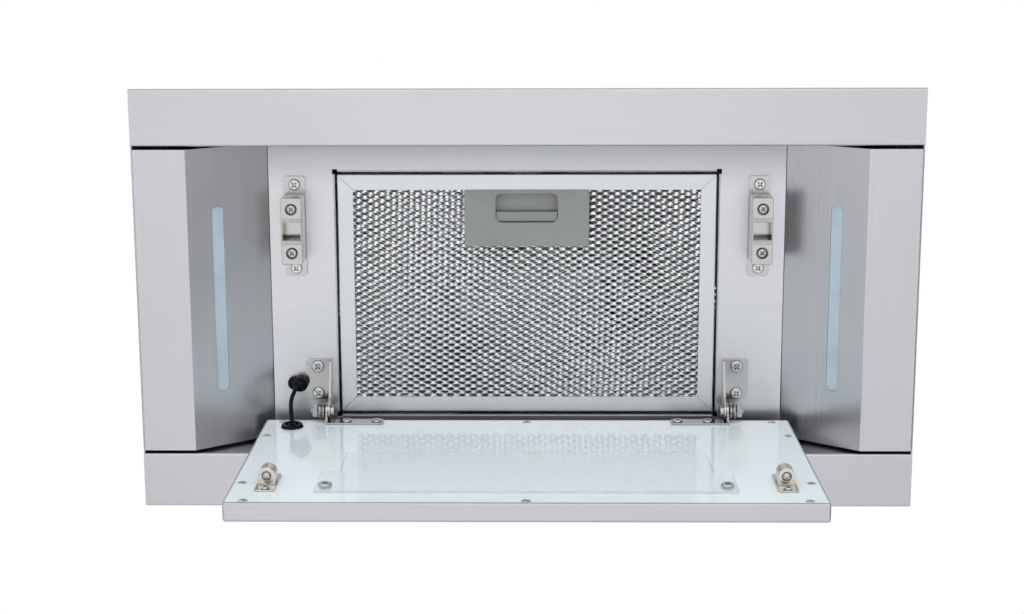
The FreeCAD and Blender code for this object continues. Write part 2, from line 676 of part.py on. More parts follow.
def catch_box():
    """Right-hand catch: a box with a ridged, lipped mouth that the striker's balls snap past."""
    top = PLATE_Z - CATCH_BASE[2]
    bottom = top - CATCH_BOX[2]
    half_x, half_y = CATCH_BOX[0] / 2, CATCH_BOX[1] / 2
    x = (CATCH_X - half_x, CATCH_X + half_x)
    body = rounded_slab(x, (CATCH_Y - half_y, CATCH_Y + half_y), (bottom, top), 1.5)
    body = body.makeChamfer(0.5, [e for e in body.Edges if e.BoundBox.ZMax < bottom + 1e-6])
    cavity_x = (CATCH_X - CATCH_CAVITY[0] / 2, CATCH_X + CATCH_CAVITY[0] / 2)
    cavity_y = (CATCH_Y - CATCH_CAVITY[1] / 2, CATCH_Y + CATCH_CAVITY[1] / 2)
    mouth_y = (CATCH_Y - CATCH_OPENING / 2, CATCH_Y + CATCH_OPENING / 2)
    ceiling = bottom + CATCH_INNER_DEPTH
    body = body.cut(box(cavity_x, cavity_y, (bottom + CATCH_LIP, ceiling)))
    body = body.cut(box(cavity_x, cavity_y, (ceiling + SHEET, top + 1)))
    body = body.cut(box(cavity_x, mouth_y, (bottom - 1, ceiling)))
    ridge_start = CATCH_X - RIDGE_HALF_LENGTH
    for reach, radius in CATCH_RIDGES:
        for side in (-1, 1):
            start = (ridge_start, CATCH_Y + side * reach, bottom)
            body = body.fuse(rod(radius, start, X_AXIS, 2 * RIDGE_HALF_LENGTH))
    for point in adjuster_points():
        body = body.cut(rod(6.0, (point[0], point[1], bottom - 1), Z_AXIS, ADJUSTER_DEPTH + 1))
        body = body.cut(rod(2.4, (point[0], point[1], bottom), Z_AXIS, 14.0))
    return body


def catch_adjusters():
    """Cross-head screws that set how hard both catches grip, sunk in their boxes."""
    screws = [pan_screw(p, -Z_AXIS, 4.6, 3.3, 9.0, 2.4) for p in adjuster_points()]
    return both_sides(Part.makeCompound(screws))


# ---- hinges ----
def bracket_screw_points():
    """Two screws through each hinge bracket."""
    return [(s * 212.0, y, PLATE_Z - LEG_THICKNESS) for s in (-1, 1) for y in (78.0, 106.0)]


def hinge_bracket():
    """Right-hand fixed half of the hinge: a plate with a leg down to the pivot."""
    plate = rounded_slab((LEG_X, 224.0), (70.5, 112.4), (PLATE_Z - LEG_THICKNESS, PLATE_Z), 4.5)
    square = box((LEG_X, LEG_X + 8), (70.5, 112.4), (PLATE_Z - LEG_THICKNESS, PLATE_Z))
    outline = [
        Vector(LEG_X, 70.5, PLATE_Z),
        Vector(LEG_X, 70.5, PLATE_Z - 9),
        Vector(LEG_X, 104.0, PIVOT_Z + 2),
        Vector(LEG_X, 112.0, PIVOT_Z - LUG_RADIUS + 1.5),
        Vector(LEG_X, PIVOT_Y + LUG_RADIUS, PIVOT_Z),
        Vector(LEG_X, PIVOT_Y + LUG_RADIUS, PIVOT_Z + 9),
        Vector(LEG_X, 112.4, PLATE_Z),
    ]
    leg = rounded_face(outline, [0, 3, 6, 0, 0, 4, 0]).extrude(X_AXIS * LEG_THICKNESS)
    lug = rod(LUG_RADIUS, (LEG_X, PIVOT_Y, PIVOT_Z), X_AXIS, LEG_THICKNESS)
    bracket = united([plate, square, leg, lug])
    bracket = bracket.cut(rod(PIVOT_RADIUS, (LEG_X - 5, PIVOT_Y, PIVOT_Z), X_AXIS, 20))
    return drilled(bracket, bracket_screw_points(), Z_AXIS)


EAR_X = LEG_X + LEG_THICKNESS + WORKING_GAP
STACK_X = EAR_X + LEG_THICKNESS + WORKING_GAP
STACK_COUNT = 4
WASHER = 2.0
WASHER_RADII = (8.0, 6.2)
NUT_RADIUS = 7.4
NUT_X = STACK_X + STACK_COUNT * WASHER + 0.2
LEAF_T = (1.5, 16.0)


def hinge_bolt():
    """Bolt that the right-hand hinge turns on, its round head on the inside."""
    head = rod(5.6, (LEG_X - 4.1, PIVOT_Y, PIVOT_Z), X_AXIS, 4.05)
    head = head.makeFillet(1.2, [e for e in head.Edges if e.BoundBox.XMax < LEG_X - 4])
    shank = rod(PIVOT_RADIUS, (LEG_X - 1, PIVOT_Y, PIVOT_Z), X_AXIS, 20.3)
    return head.fuse(shank)


def hinge_nut():
    """Hexagon nut on the outer end of the right-hand hinge's bolt."""
    ring = []
    for i in range(6):
        turn = math.radians(60 * i + 12)
        y, z = NUT_RADIUS * math.cos(turn), NUT_RADIUS * math.sin(turn)
        ring.append(Vector(NUT_X, PIVOT_Y + y, PIVOT_Z + z))
    nut = rounded_face(ring, [0] * 6).extrude(X_AXIS * 5.0)
    nut = nut.makeChamfer(0.4, [e for e in nut.Edges if e.BoundBox.XMin > NUT_X + 4.9])
    return nut.cut(rod(PIVOT_RADIUS, (NUT_X - 1, PIVOT_Y, PIVOT_Z), X_AXIS, 9))


def hinge_washers():
    """Stack of dished spring washers that gives the right-hand hinge its friction."""
    washers = []
    for i in range(STACK_COUNT):
        x = STACK_X + i * WASHER
        near, far = WASHER_RADII if i % 2 else reversed(WASHER_RADII)
        cone = Part.makeCone(near, far, WASHER - 0.1, Vector(x, PIVOT_Y, PIVOT_Z), X_AXIS)
        washers.append(cone.cut(rod(PIVOT_RADIUS, (x - 1, PIVOT_Y, PIVOT_Z), X_AXIS, 5)))
    return Part.makeCompound(washers)


def leaf_screw_points():
    """Two screws through each hinge leaf."""
    middle = sum(LEAF_T) / 2
    return [panel_point(s * x, middle, 2.0) for s in (-1, 1) for x in (181.0, 151.0)]


def hinge_leaf():
    """Right-hand moving half of the hinge: a strip on the panel with an ear round the bolt."""
    end_x = EAR_X + LEG_THICKNESS
    strip = on_panel((144.0, end_x), LEAF_T, (0.0, 2.0))
    ends = [e for e in strip.Edges if e.BoundBox.XMax < 144.001 and e.BoundBox.ZLength < 1e-6]
    strip = strip.makeFillet(3.5, ends)
    ear = rod(LUG_RADIUS, (EAR_X, PIVOT_Y, PIVOT_Z), X_AXIS, LEG_THICKNESS)
    web_z = (PANEL_EDGE_Z - LEAF_T[1] + 2.0, PANEL_EDGE_Z - LEAF_T[0])
    web = box((EAR_X, end_x), (PIVOT_Y, PANEL_FACE_Y), web_z)
    leaf = united([strip, ear, web])
    hole = rod(PIVOT_RADIUS + PIVOT_CLEARANCE, (EAR_X - 5, PIVOT_Y, PIVOT_Z), X_AXIS, 15)
    return drilled(leaf.cut(hole), leaf_screw_points(), Y_AXIS)


# ---- drop-down panel ----
def rivet_points():
    """Ten flush rivets round the edge of the liner."""
    spots = [(x, 6.0) for x in (-245.5, 0.0, 245.5)]
    spots += [(x, 232.5) for x in (-246.0, 0.0, 246.0)]
    spots += [(x, t) for x in (-254.5, 254.5) for t in (50.5, 187.0)]
    return [panel_point(x, t) for x, t in spots]


def cover_screw_points():
    """Two screws through the ears of the clear cover."""
    return [panel_point(s * 178.5, 199.0, COVER_HEIGHTS[1]) for s in (-1, 1)]


def striker_screw_points():
    """Two screws through each striker's foot."""
    reach = 17.0
    height = STRIKER_BASE[2]
    return [
        panel_point(s * STRIKER_X, STRIKER_T + t * reach, height) for s in (-1, 1) for t in (-1, 1)
    ]


TOUCH_T = (206.0, 226.0)
TOUCH_HALF_WIDTH = 75.0


def panel_tray():
    """Stainless tray that is the panel's outer face and its edges, hemmed along the front."""
    whole = on_panel(
        (-PANEL_HALF_WIDTH, PANEL_HALF_WIDTH), (0, PANEL_LENGTH), (-PANEL_THICKNESS, TRAY_LIP)
    )
    outer = [e for e in whole.Edges if e.BoundBox.YLength > 1]
    whole = whole.makeFillet(2.2, outer)
    back = PANEL_FACE_Y + PANEL_THICKNESS
    rim = [e for e in whole.Edges if e.BoundBox.YMin > back - 1e-4]
    whole = whole.makeFillet(TRAY_RIM_RADIUS, rim)
    lip = PANEL_FACE_Y - TRAY_LIP
    whole = whole.makeFillet(1.1, [e for e in whole.Edges if e.BoundBox.YMax < lip + 1e-4])
    inner_x = PANEL_HALF_WIDTH - SHEET
    hollow = on_panel(
        (-inner_x, inner_x), (SHEET, PANEL_LENGTH - SHEET), (-PANEL_THICKNESS + SHEET, -HEM_DEPTH)
    )
    floor = [e for e in hollow.Edges if e.BoundBox.YMin > back - SHEET - 1e-4]
    hollow = hollow.makeFillet(TRAY_RIM_RADIUS - SHEET, floor)
    mouth = on_panel(
        (-inner_x, inner_x), (SHEET, PANEL_LENGTH - 2 * SHEET), (-HEM_DEPTH - 1, TRAY_LIP + 1)
    )
    tray = whole.cut(hollow).cut(mouth)
    touch_x = (-TOUCH_HALF_WIDTH, TOUCH_HALF_WIDTH)
    return tray.cut(on_panel(touch_x, TOUCH_T, (-PANEL_THICKNESS - 1, 0)))


def panel_liner():
    """Glossy inner sheet of the panel."""
    inner_x = PANEL_HALF_WIDTH - SHEET - 0.05
    t = (SHEET + 0.05, PANEL_LENGTH - 2 * SHEET - 0.05)
    liner = on_panel((-inner_x, inner_x), t, (-LINER_THICKNESS, 0))
    liner = drilled(liner, rivet_points(), Y_AXIS, 1.6)
    screws = leaf_screw_points() + cover_screw_points() + striker_screw_points()
    liner = drilled(liner, screws, Y_AXIS)
    return drilled(liner, [LEAD_ROUTE[-1]], Y_AXIS, GROMMET_NECK)


def panel_rivets():
    """Low domed rivet heads, each with its shank through the liner."""
    rivets = []
    radius, height = 4.3, 1.3
    dome_radius = (radius**2 + height**2) / (2 * height)
    for point in rivet_points():
        dome = Part.makeSphere(dome_radius, Vector(0, 0, height - dome_radius))
        head = dome.common(Part.makeCylinder(radius + 1, height + 1))
        shank = Part.makeCylinder(1.6, 5.0, Vector(0, 0, -4.5))
        rivets.append(aimed(head.fuse(shank), point, -Y_AXIS))
    return Part.makeCompound(rivets)


def clear_cover():
    """Clear sheet on the liner, with an ear at each front corner."""
    middle = on_panel((-170.0, 170.0), (108.0, 214.0), COVER_HEIGHTS)
    ears = on_panel((-187.0, 187.0), (162.0, 214.0), COVER_HEIGHTS)
    cover = united([middle, ears])
    long_corners = [
        e
        for e in cover.Edges
        if e.BoundBox.YLength > 1 and (e.BoundBox.XMin > 186 or e.BoundBox.XMax < -186)
    ]
    cover = cover.makeFillet(3.0, long_corners)
    return drilled(cover, cover_screw_points(), Y_AXIS)


def panel_screws():
    """Cross-head screws of the cover, the strikers and the hinge leaves."""
    small = [pan_screw(p, -Y_AXIS, 6.0, 2.2, 5.0) for p in cover_screw_points()]
    feet = [pan_screw(p, -Y_AXIS, 3.6, 2.0, 5.0) for p in striker_screw_points()]
    leaves = [pan_screw(p, -Y_AXIS, 4.8, 1.9, 6.0) for p in leaf_screw_points()]
    return Part.makeCompound(small + feet + leaves)


def striker():
    """Right-hand striker: a foot with a barrel that holds two balls end to end."""
    half_x, half_t = STRIKER_BASE[0] / 2, STRIKER_BASE[1] / 2
    x = (STRIKER_X - half_x, STRIKER_X + half_x)
    foot = on_panel(x, (STRIKER_T - half_t, STRIKER_T + half_t), (0, STRIKER_BASE[2]))
    foot = foot.makeFillet(3.0, [e for e in foot.Edges if e.BoundBox.YLength > 1])
    half = STRIKER_BARREL_LENGTH / 2
    saddle_x = (STRIKER_X - STRIKER_BARREL_RADIUS, STRIKER_X + STRIKER_BARREL_RADIUS)
    saddle = on_panel(saddle_x, (STRIKER_T - half, STRIKER_T + half), (0, BALL_HEIGHT))
    middle = Vector(*panel_point(STRIKER_X, STRIKER_T + half, BALL_HEIGHT))
    barrel = Part.makeCylinder(STRIKER_BARREL_RADIUS, 2 * half, middle, Z_AXIS)
    bore_start = middle - Z_AXIS * 5
    bore = Part.makeCylinder(BALL_RADIUS + 0.08, 2 * half + 10, bore_start, Z_AXIS)
    body = united([foot, saddle, barrel]).cut(bore)
    return drilled(body, striker_screw_points(), Y_AXIS)


def striker_ball(side, end):
    """One ball of a striker: side is -1 left or 1 right, end is -1 rear or 1 front."""
    t = STRIKER_T + end * (STRIKER_BARREL_LENGTH / 2 + BALL_PROUD - BALL_RADIUS)
    return Part.makeSphere(BALL_RADIUS, Vector(*panel_point(side * STRIKER_X, t, BALL_HEIGHT)))


def touch_strip():
    """Glass touch strip in the panel's outer face."""
    x = (-TOUCH_HALF_WIDTH + 0.1, TOUCH_HALF_WIDTH - 0.1)
    t = (TOUCH_T[0] + 0.1, TOUCH_T[1] - 0.1)
    return on_panel(x, t, (-PANEL_THICKNESS, -PANEL_THICKNESS + 2.0))


def touch_board():
    """Touch sensor's circuit board behind its strip."""
    x = (-TOUCH_HALF_WIDTH + 4, TOUCH_HALF_WIDTH - 4)
    return on_panel(x, (204.0, 228.0), (-PANEL_THICKNESS + 2.0, -PANEL_THICKNESS + 3.6))


# ---- lead from the hood to the panel, with its grommets ----
def lead_socket(near, far):
    """The hole that the lead fills, from its end at near out towards far."""
    direction = (Vector(*far) - Vector(*near)).normalize()
    return rod(LEAD_DIAMETER / 2, near, direction, 20.0)


def panel_grommet():
    """Rubber grommet in the liner: a disc with a groove round the lead and a split in its rim."""
    x, y, z = LEAD_ROUTE[-1]
    face = (x, PANEL_FACE_Y, z)
    skirt = Part.makeCone(11.2, 10.0, PANEL_GROMMET_HEIGHT, Vector(*face), -Y_AXIS)
    top = PANEL_FACE_Y - PANEL_GROMMET_HEIGHT
    skirt = skirt.makeFillet(1.0, [e for e in skirt.Edges if e.BoundBox.YMax < top + 1e-4])
    groove = rod(7.2, (x, top - 1, z), Y_AXIS, 3.2).cut(rod(3.6, (x, top - 1, z), Y_AXIS, 3.2))
    split = Part.makeBox(5.0, 5.0, 1.3, Vector(7.0, -2.0, -0.65))
    split.rotate(ORIGIN, Y_AXIS, GRIP_SPLIT_ANGLE)
    split.translate(Vector(x, PANEL_FACE_Y - 2.5, z))
    skirt = skirt.cut(groove).cut(split)
    neck = rod(GROMMET_NECK, face, Y_AXIS, LINER_THICKNESS)
    inner = rod(10.0, (x, PANEL_FACE_Y + LINER_THICKNESS, z), Y_AXIS, 2.0)
    return united([skirt, neck, inner]).cut(lead_socket(LEAD_ROUTE[-1], LEAD_ROUTE[-2]))


def hood_grommet():
    """Rubber strain relief in the recess plate: a ball head and a split ear that grips the lead."""
    x, y = HOOD_GROMMET
    ball = Part.makeSphere(7.8, Vector(x + 1.0, y, PLATE_Z - 8.6))
    ear = rod(7.0, (x - 5.4, y + 0.4, PLATE_Z - 6.4), Z_AXIS, 6.4)
    ear = ear.makeFillet(2.2, [e for e in ear.Edges if e.BoundBox.ZMax < PLATE_Z - 6])
    split = Part.makeBox(1.6, 6.0, 9.0, Vector(-0.8, -6.0, 0))
    split.rotate(ORIGIN, Z_AXIS, EAR_SPLIT_ANGLE)
    split.translate(Vector(x - 5.6, y - 4.4, PLATE_Z - 8.0))
    ear = ear.cut(split)
    head = ball.fuse(ear).common(box((x - 20, x + 20), (y - 20, y + 20), (-500, PLATE_Z)))
    neck = rod(GROMMET_NECK, (x, y, PLATE_Z), Z_AXIS, SHEET)
    collar = rod(5.6, (x, y, PLATE_Z - 3.0), Z_AXIS, 3.0)
    inner = rod(9.0, (x, y, PLATE_Z + SHEET), Z_AXIS, 3.0)
    return united([head, neck, collar, inner]).cut(lead_socket(LEAD_ROUTE[0], LEAD_ROUTE[1]))


def panel_lead():
    """Lead between the grommets: straight runs joined by tangent arcs."""
    points = [Vector(*p) for p in LEAD_ROUTE]
    edges, position = [], points[0]
    for i in range(1, len(points) - 1):
        before = points[i - 1] - points[i]
        after = points[i + 1] - points[i]
        half_turn = (math.pi - before.getAngle(after)) / 2
        back = 0.45 * min(before.Length, after.Length)
        radius = back / math.tan(half_turn)
        enter = points[i] + Vector(before).normalize() * back
        leave = points[i] + Vector(after).normalize() * back
        inward = (Vector(before).normalize() + Vector(after).normalize()).normalize()
        middle = points[i] + inward * (radius / math.cos(half_turn) - radius)
        edges.append(Part.LineSegment(position, enter).toShape())
        edges.append(Part.Arc(enter, middle, leave).toShape())
        position = leave
        print(f"lead bend {i}: radius {radius:.1f}, turn {math.degrees(2 * half_turn):.0f}")
    edges.append(Part.LineSegment(position, points[-1]).toShape())
    path = Part.Wire(edges)
    length = path.Length
    start = (points[1] - points[0]).normalize()
    section = Part.Wire([Part.Circle(points[0], start, LEAD_DIAMETER / 2).toShape()])
    tube = path.makePipeShell([section], True, False)
    expected = math.pi * LEAD_DIAMETER**2 / 4 * length
    print(f"lead length {length:.1f}, volume {tube.Volume:.0f}, section times length {expected:.0f}")
    return tube


# ---- filter ----
def filter_bars():
    """Four mitred channel bars round the filter."""
    x0, x1 = -FILTER_HALF_WIDTH, FILTER_HALF_WIDTH
    y0, y1 = FILTER_Y
    z = (FILTER_BOTTOM, FILTER_TOP)
    frame = box((x0, x1), (y0, y1), z)
    bottom = [e for e in frame.Edges if e.BoundBox.ZMax < FILTER_BOTTOM + 1e-6]
    frame = frame.makeFillet(1.0, bottom)
    window_x = (x0 + FILTER_BAR, x1 - FILTER_BAR)
    window_y = (y0 + FILTER_BAR, y1 - FILTER_BAR)
    frame = frame.cut(box(window_x, window_y, (-500, 0)))
    wall = FILTER_WALL
    channel = box((x0 + wall, x1 - wall), (y0 + wall, y1 - wall), (z[0] + wall, z[1] - wall))
    frame = frame.cut(channel)
    bars = []
    middle_y = (y0 + y1) / 2
    half_y = (y1 - y0) / 2
    reach = FILTER_BAR + 5
    gap = 0.15
    for side in (-1, 1):
        outer = x1 if side > 0 else x0
        corners = [
            Vector(outer + side, middle_y - half_y - 1 + gap * 2, -500),
            Vector(outer - side * reach, middle_y - half_y + reach + gap * 2, -500),
            Vector(outer - side * reach, middle_y + half_y - reach - gap * 2, -500),
            Vector(outer + side, middle_y + half_y + 1 - gap * 2, -500),
        ]
        bars.append(frame.common(rounded_face(corners, [0] * 4).extrude(Z_AXIS * 500)))
        edge = y1 if side > 0 else y0
        corners = [
            Vector(x0 - 1, edge + side, -500),
            Vector(x0 + reach, edge - side * reach, -500),
            Vector(x1 - reach, edge - side * reach, -500),
            Vector(x1 + 1, edge + side, -500),
        ]
        bars.append(frame.common(rounded_face(corners, [0] * 4).extrude(Z_AXIS * 500)))
    return Part.makeCompound([s for bar in bars for s in bar.Solids])


def latch_well():
    """Hole that the mesh leaves for the finger pocket and the latch."""
    return box((-35.0, 35.0), (-104.5, -58.0), (-500, 0))


def filter_mesh(low, high):
    """One layer of mesh, held in the bars' channel."""
    inset = FILTER_WALL + 1.0
    x = (-FILTER_HALF_WIDTH + inset, FILTER_HALF_WIDTH - inset)
    y = (FILTER_Y[0] + inset, FILTER_Y[1] - inset)
    return box(x, y, (FILTER_BOTTOM + low, FILTER_BOTTOM + high)).cut(latch_well())


def filter_handle():
    """Handle plate with a finger pocket, and a pen behind it for the latch."""
    x = (-HANDLE_HALF_WIDTH, HANDLE_HALF_WIDTH)
    low = FILTER_BOTTOM - 1.5
    plate = rounded_slab(x, HANDLE_Y, (low, low + HANDLE_THICKNESS), 1.5)
    pocket_x = (-POCKET_HALF_WIDTH, POCKET_HALF_WIDTH)
    top = low + HANDLE_THICKNESS + POCKET_DEPTH
    well = box((-33.5, 33.5), (POCKET_Y[0] - 2.5, -60.0), (low + HANDLE_THICKNESS, top))
    pen_y = (POCKET_Y[0], SLIDER_Y[1] + SLIDER_TRAVEL + 4.6)
    well = well.cut(box((-31.5, 31.5), pen_y, (-500, top - 1.2)))
    slider_way = (SLIDER_Y[0] - 0.3, SLIDER_Y[1] + SLIDER_TRAVEL + 0.3)
    well = well.cut(box((-31.5, 31.5), slider_way, (top - 2, top + 1)))
    handle = plate.cut(rounded_slab(pocket_x, POCKET_Y, (low - 1, low + 5), 6.0))
    return united([handle, well])


def latch_slider():
    """Spring latch: a finger bar in the pocket and a tongue over the frame's front bar."""
    low = FILTER_BOTTOM - 1.5 + HANDLE_THICKNESS + 0.3
    high = FILTER_TOP + 1.9
    bar = box((-31.0, 31.0), SLIDER_Y, (low, high))
    bar = bar.makeFillet(1.0, [e for e in bar.Edges if e.BoundBox.ZMax < low + 1e-6])
    tongue_y = (OPENING_Y[0] + 0.5, SLIDER_Y[0] + 1)
    width = (-TONGUE_HALF_WIDTH, TONGUE_HALF_WIDTH)
    tongue = box(width, tongue_y, (FILTER_TOP + 0.4, high))
    return bar.fuse(tongue)


def latch_springs():
    """Two coil springs between the latch and the handle's pen."""
    springs = []
    length = SLIDER_TRAVEL + 4.6 - 2 * SPRING_WIRE - 0.2
    for x in (-20.0, 20.0):
        helix = Part.makeHelix(SPRING_PITCH, length, SPRING_RADIUS)
        start = helix.Edges[0].valueAt(helix.Edges[0].FirstParameter)
        corners = []
        for i in range(9):
            turn = math.radians(45 * i)
            corners.append(start + Vector(math.cos(turn), 0, math.sin(turn)) * SPRING_WIRE)
        coil = Part.Wire(helix).makePipeShell([Part.makePolygon(corners)], True, True)
        seat = (x, SLIDER_Y[1] + SPRING_WIRE + 0.1, FILTER_BOTTOM + 4.4)
        springs.append(aimed(coil, seat, Y_AXIS))
    return Part.makeCompound(springs)


# ---- every node ----
def housing_screws():
    """Cross-head screws of the duct collar, the catches and the hinge brackets."""
    collar = [pan_screw(p, -Z_AXIS, 4.0, 2.2, COLLAR_SCREW_GRIP) for p in collar_screw_points()]
    catches = [pan_screw(p, -Z_AXIS, 5.5, 2.6) for p in catch_screw_points()]
    brackets = [pan_screw(p, -Z_AXIS, 6.0, 2.6) for p in bracket_screw_points()]
    return Part.makeCompound(collar + catches + brackets)


def nodes():
    """Each node's name and shape."""
    parts = {
        "front_fascia": fascia(True),
        "rear_panel": fascia(False),
        "top_plate": top_plate(),
        "recess_plate": recess_plate(),
        "duct_collar": duct_collar(),
        "led_driver": led_driver(),
        "led_boards": both_sides(lamp_board()),
        "scroll_wrapper": scroll_wrapper(),
        "impeller_blades": wheel_blades(),
        "impeller_hub": wheel_hub(),
        "impeller_rings": wheel_rings(),
        "impeller_shaft": impeller_shaft(),
        "fan_motor": motor(),
        "motor_bracket": motor_bracket(),
        "control_box": control_box(),
        "control_box_lid": control_box_lid(),
        "control_board": control_board(),
        "capacitor": capacitor(),
        "catch_adjusters": catch_adjusters(),
        "catch_bases": both_sides(catch_base()),
        "housing_screws": housing_screws(),
        "hinge_bolts": both_sides(hinge_bolt()),
        "hinge_nuts": both_sides(hinge_nut()),
        "hinge_washers": both_sides(hinge_washers()),
        "panel_tray": panel_tray(),
        "panel_liner": panel_liner(),
        "panel_rivets": panel_rivets(),
        "panel_screws": panel_screws(),
        "clear_cover": clear_cover(),
        "touch_strip": touch_strip(),
        "touch_board": touch_board(),
        "panel_grommet": panel_grommet(),
        "hood_grommet": hood_grommet(),
        "panel_lead": panel_lead(),
        "filter_bars": filter_bars(),
        "filter_mesh_lower": filter_mesh(1.2, 3.4),
        "filter_mesh_upper": filter_mesh(3.6, 7.8),
        "filter_handle": filter_handle(),
        "latch_slider": latch_slider(),
        "latch_springs": latch_springs(),
    }
    paired = {
        "side_panel": side_panel,
        "damper_flap": damper_flap,
        "led_lens": lamp_lens,
        "scroll_side": scroll_side,
        "catch_box": catch_box,
        "hinge_bracket": hinge_bracket,
        "hinge_leaf": hinge_leaf,
        "striker": striker,
    }
    for name, make in paired.items():
        shape = make()
        parts[name + "_right"] = shape
        parts[name + "_left"] = mirrored(shape)
    for side, side_name in ((-1, "left"), (1, "right")):
        for end, end_name in ((-1, "rear"), (1, "front")):
            parts[f"striker_ball_{side_name}_{end_name}"] = striker_ball(side, end)
    return parts


def main():
    os.makedirs("parts", exist_ok=True)
    for name, shape in sorted(nodes().items()):
        valid = shape.isValid()
        volume = sum(s.Volume for s in shape.Solids)
        print(f"{name}: solids {len(shape.Solids)}, volume {volume:.0f}, valid {valid}")
        shape.exportStep(f"parts/{name}.step")


main()
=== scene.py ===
"""Looks of the under cabinet range hood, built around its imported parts. Everything is in metres."""

import json
import math
import random

import bmesh
import bpy
from mathutils import Matrix, Vector


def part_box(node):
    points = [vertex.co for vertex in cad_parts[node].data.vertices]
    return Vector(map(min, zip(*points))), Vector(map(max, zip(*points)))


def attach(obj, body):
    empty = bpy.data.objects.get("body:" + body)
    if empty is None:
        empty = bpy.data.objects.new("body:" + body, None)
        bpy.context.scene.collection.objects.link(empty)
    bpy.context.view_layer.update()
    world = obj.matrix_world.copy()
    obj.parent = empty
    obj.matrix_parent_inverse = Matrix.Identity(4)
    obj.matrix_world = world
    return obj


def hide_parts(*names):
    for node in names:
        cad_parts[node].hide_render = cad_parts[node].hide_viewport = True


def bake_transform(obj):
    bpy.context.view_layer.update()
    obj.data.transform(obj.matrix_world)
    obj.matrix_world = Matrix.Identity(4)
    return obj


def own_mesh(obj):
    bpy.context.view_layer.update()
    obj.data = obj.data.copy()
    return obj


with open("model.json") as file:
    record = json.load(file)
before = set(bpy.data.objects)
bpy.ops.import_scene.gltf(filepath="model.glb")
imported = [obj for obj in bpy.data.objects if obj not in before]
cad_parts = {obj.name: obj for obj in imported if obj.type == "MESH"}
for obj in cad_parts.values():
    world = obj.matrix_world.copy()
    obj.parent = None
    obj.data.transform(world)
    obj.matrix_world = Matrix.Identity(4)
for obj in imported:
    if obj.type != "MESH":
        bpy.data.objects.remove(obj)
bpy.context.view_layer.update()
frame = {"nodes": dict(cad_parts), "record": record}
nodes = frame["nodes"]
scene = bpy.context.scene


# ---- camera ----
def add_camera():
    """Camera below the hood, looking up at its open underside, as solved from the photo."""
    data = bpy.data.cameras.new("camera")
    data.lens = 56.36
    data.sensor_width = 36.0
    data.shift_y = -0.087
    data.clip_start = 0.05
    data.clip_end = 60.0
    camera = bpy.data.objects.new("camera", data)
    camera.location = (0.0063, -0.356, -1.753)
    camera.rotation_euler = (2.9645, -0.0128, 0.003)
    scene.collection.objects.link(camera)
    scene.camera = camera


# ---- lead between the hood and the panel ----
LEAD_ROUTE = [
    (-0.2312, 0.0949, -0.1935),
    (-0.2326, 0.0968, -0.2030),
    (-0.2356, 0.1038, -0.2123),
    (-0.2350, 0.1150, -0.2177),
    (-0.2340, 0.1272, -0.2189),
]
LEAD_DIAMETER = 0.0042


def smooth_line(points):
    """Points along the smooth spline that has these control points."""
    curve = bpy.data.curves.new("line", "CURVE")
    curve.dimensions = "3D"
    curve.resolution_u = 24
    spline = curve.splines.new("NURBS")
    spline.points.add(len(points) - 1)
    for i, point in enumerate(points):
        spline.points[i].co = (*point, 1.0)
    spline.order_u = 3
    spline.use_endpoint_u = True
    holder = bpy.data.objects.new("line", curve)
    mesh = bpy.data.meshes.new_from_object(holder)
    line = [vertex.co.copy() for vertex in mesh.vertices]
    bpy.data.objects.remove(holder)
    bpy.data.curves.remove(curve)
    bpy.data.meshes.remove(mesh)
    return line


def tube_shape(line, radius, sides=20):
    """Points and faces of a closed round tube along a line, with no twist."""
    rings = []
    across = (line[1] - line[0]).orthogonal().normalized()
    for i, point in enumerate(line):
        ahead = line[min(i + 1, len(line) - 1)] - line[max(i - 1, 0)]
        ahead.normalize()
        across = (across - ahead * across.dot(ahead)).normalized()
        other = ahead.cross(across)
        ring = []
        for j in range(sides):
            turn = 2 * math.pi * j / sides
            ring.append(point + (across * math.cos(turn) + other * math.sin(turn)) * radius)
        rings.append(ring)
    points = [p for ring in rings for p in ring]
    faces = []
    for i in range(len(rings) - 1):
        for j in range(sides):
            k = (j + 1) % sides
            faces.append((i * sides + j, i * sides + k, (i + 1) * sides + k, (i + 1) * sides + j))
    faces.append(tuple(reversed(range(sides))))
    last = (len(rings) - 1) * sides
    faces.append(tuple(range(last, last + sides)))
    return points, faces


SQUARE = ((-1, -1), (1, -1), (1, 1), (-1, 1))  # which side of its middle each corner is on


def new_piece(name, points, faces, smooth=False):
    """Object with a mesh of these points and faces, its faces turned outwards."""
    mesh = bpy.data.meshes.new(name)
    mesh.from_pydata([tuple(p) for p in points], [], faces)
    work = bmesh.new()
    work.from_mesh(mesh)
    bmesh.ops.recalc_face_normals(work, faces=work.faces)
    work.to_mesh(mesh)
    work.free()
    if smooth:
        for face in mesh.polygons:
            face.use_smooth = len(face.vertices) <= 4
    piece = bpy.data.objects.new(name, mesh)
    scene.collection.objects.link(piece)
    return piece


def add_lead():
    """Black flexible lead from the grommet in the recess plate to the panel's."""
    line = smooth_line(LEAD_ROUTE)
    lead = new_piece("lead_sheath", *tube_shape(line, LEAD_DIAMETER / 2), smooth=True)
    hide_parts("panel_lead")
    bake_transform(lead)
    return lead


# ---- springs behind the filter's latch ----
SPRING_WIRE = 0.00076
SPRING_TURNS = 5
SPRING_STEPS = 20


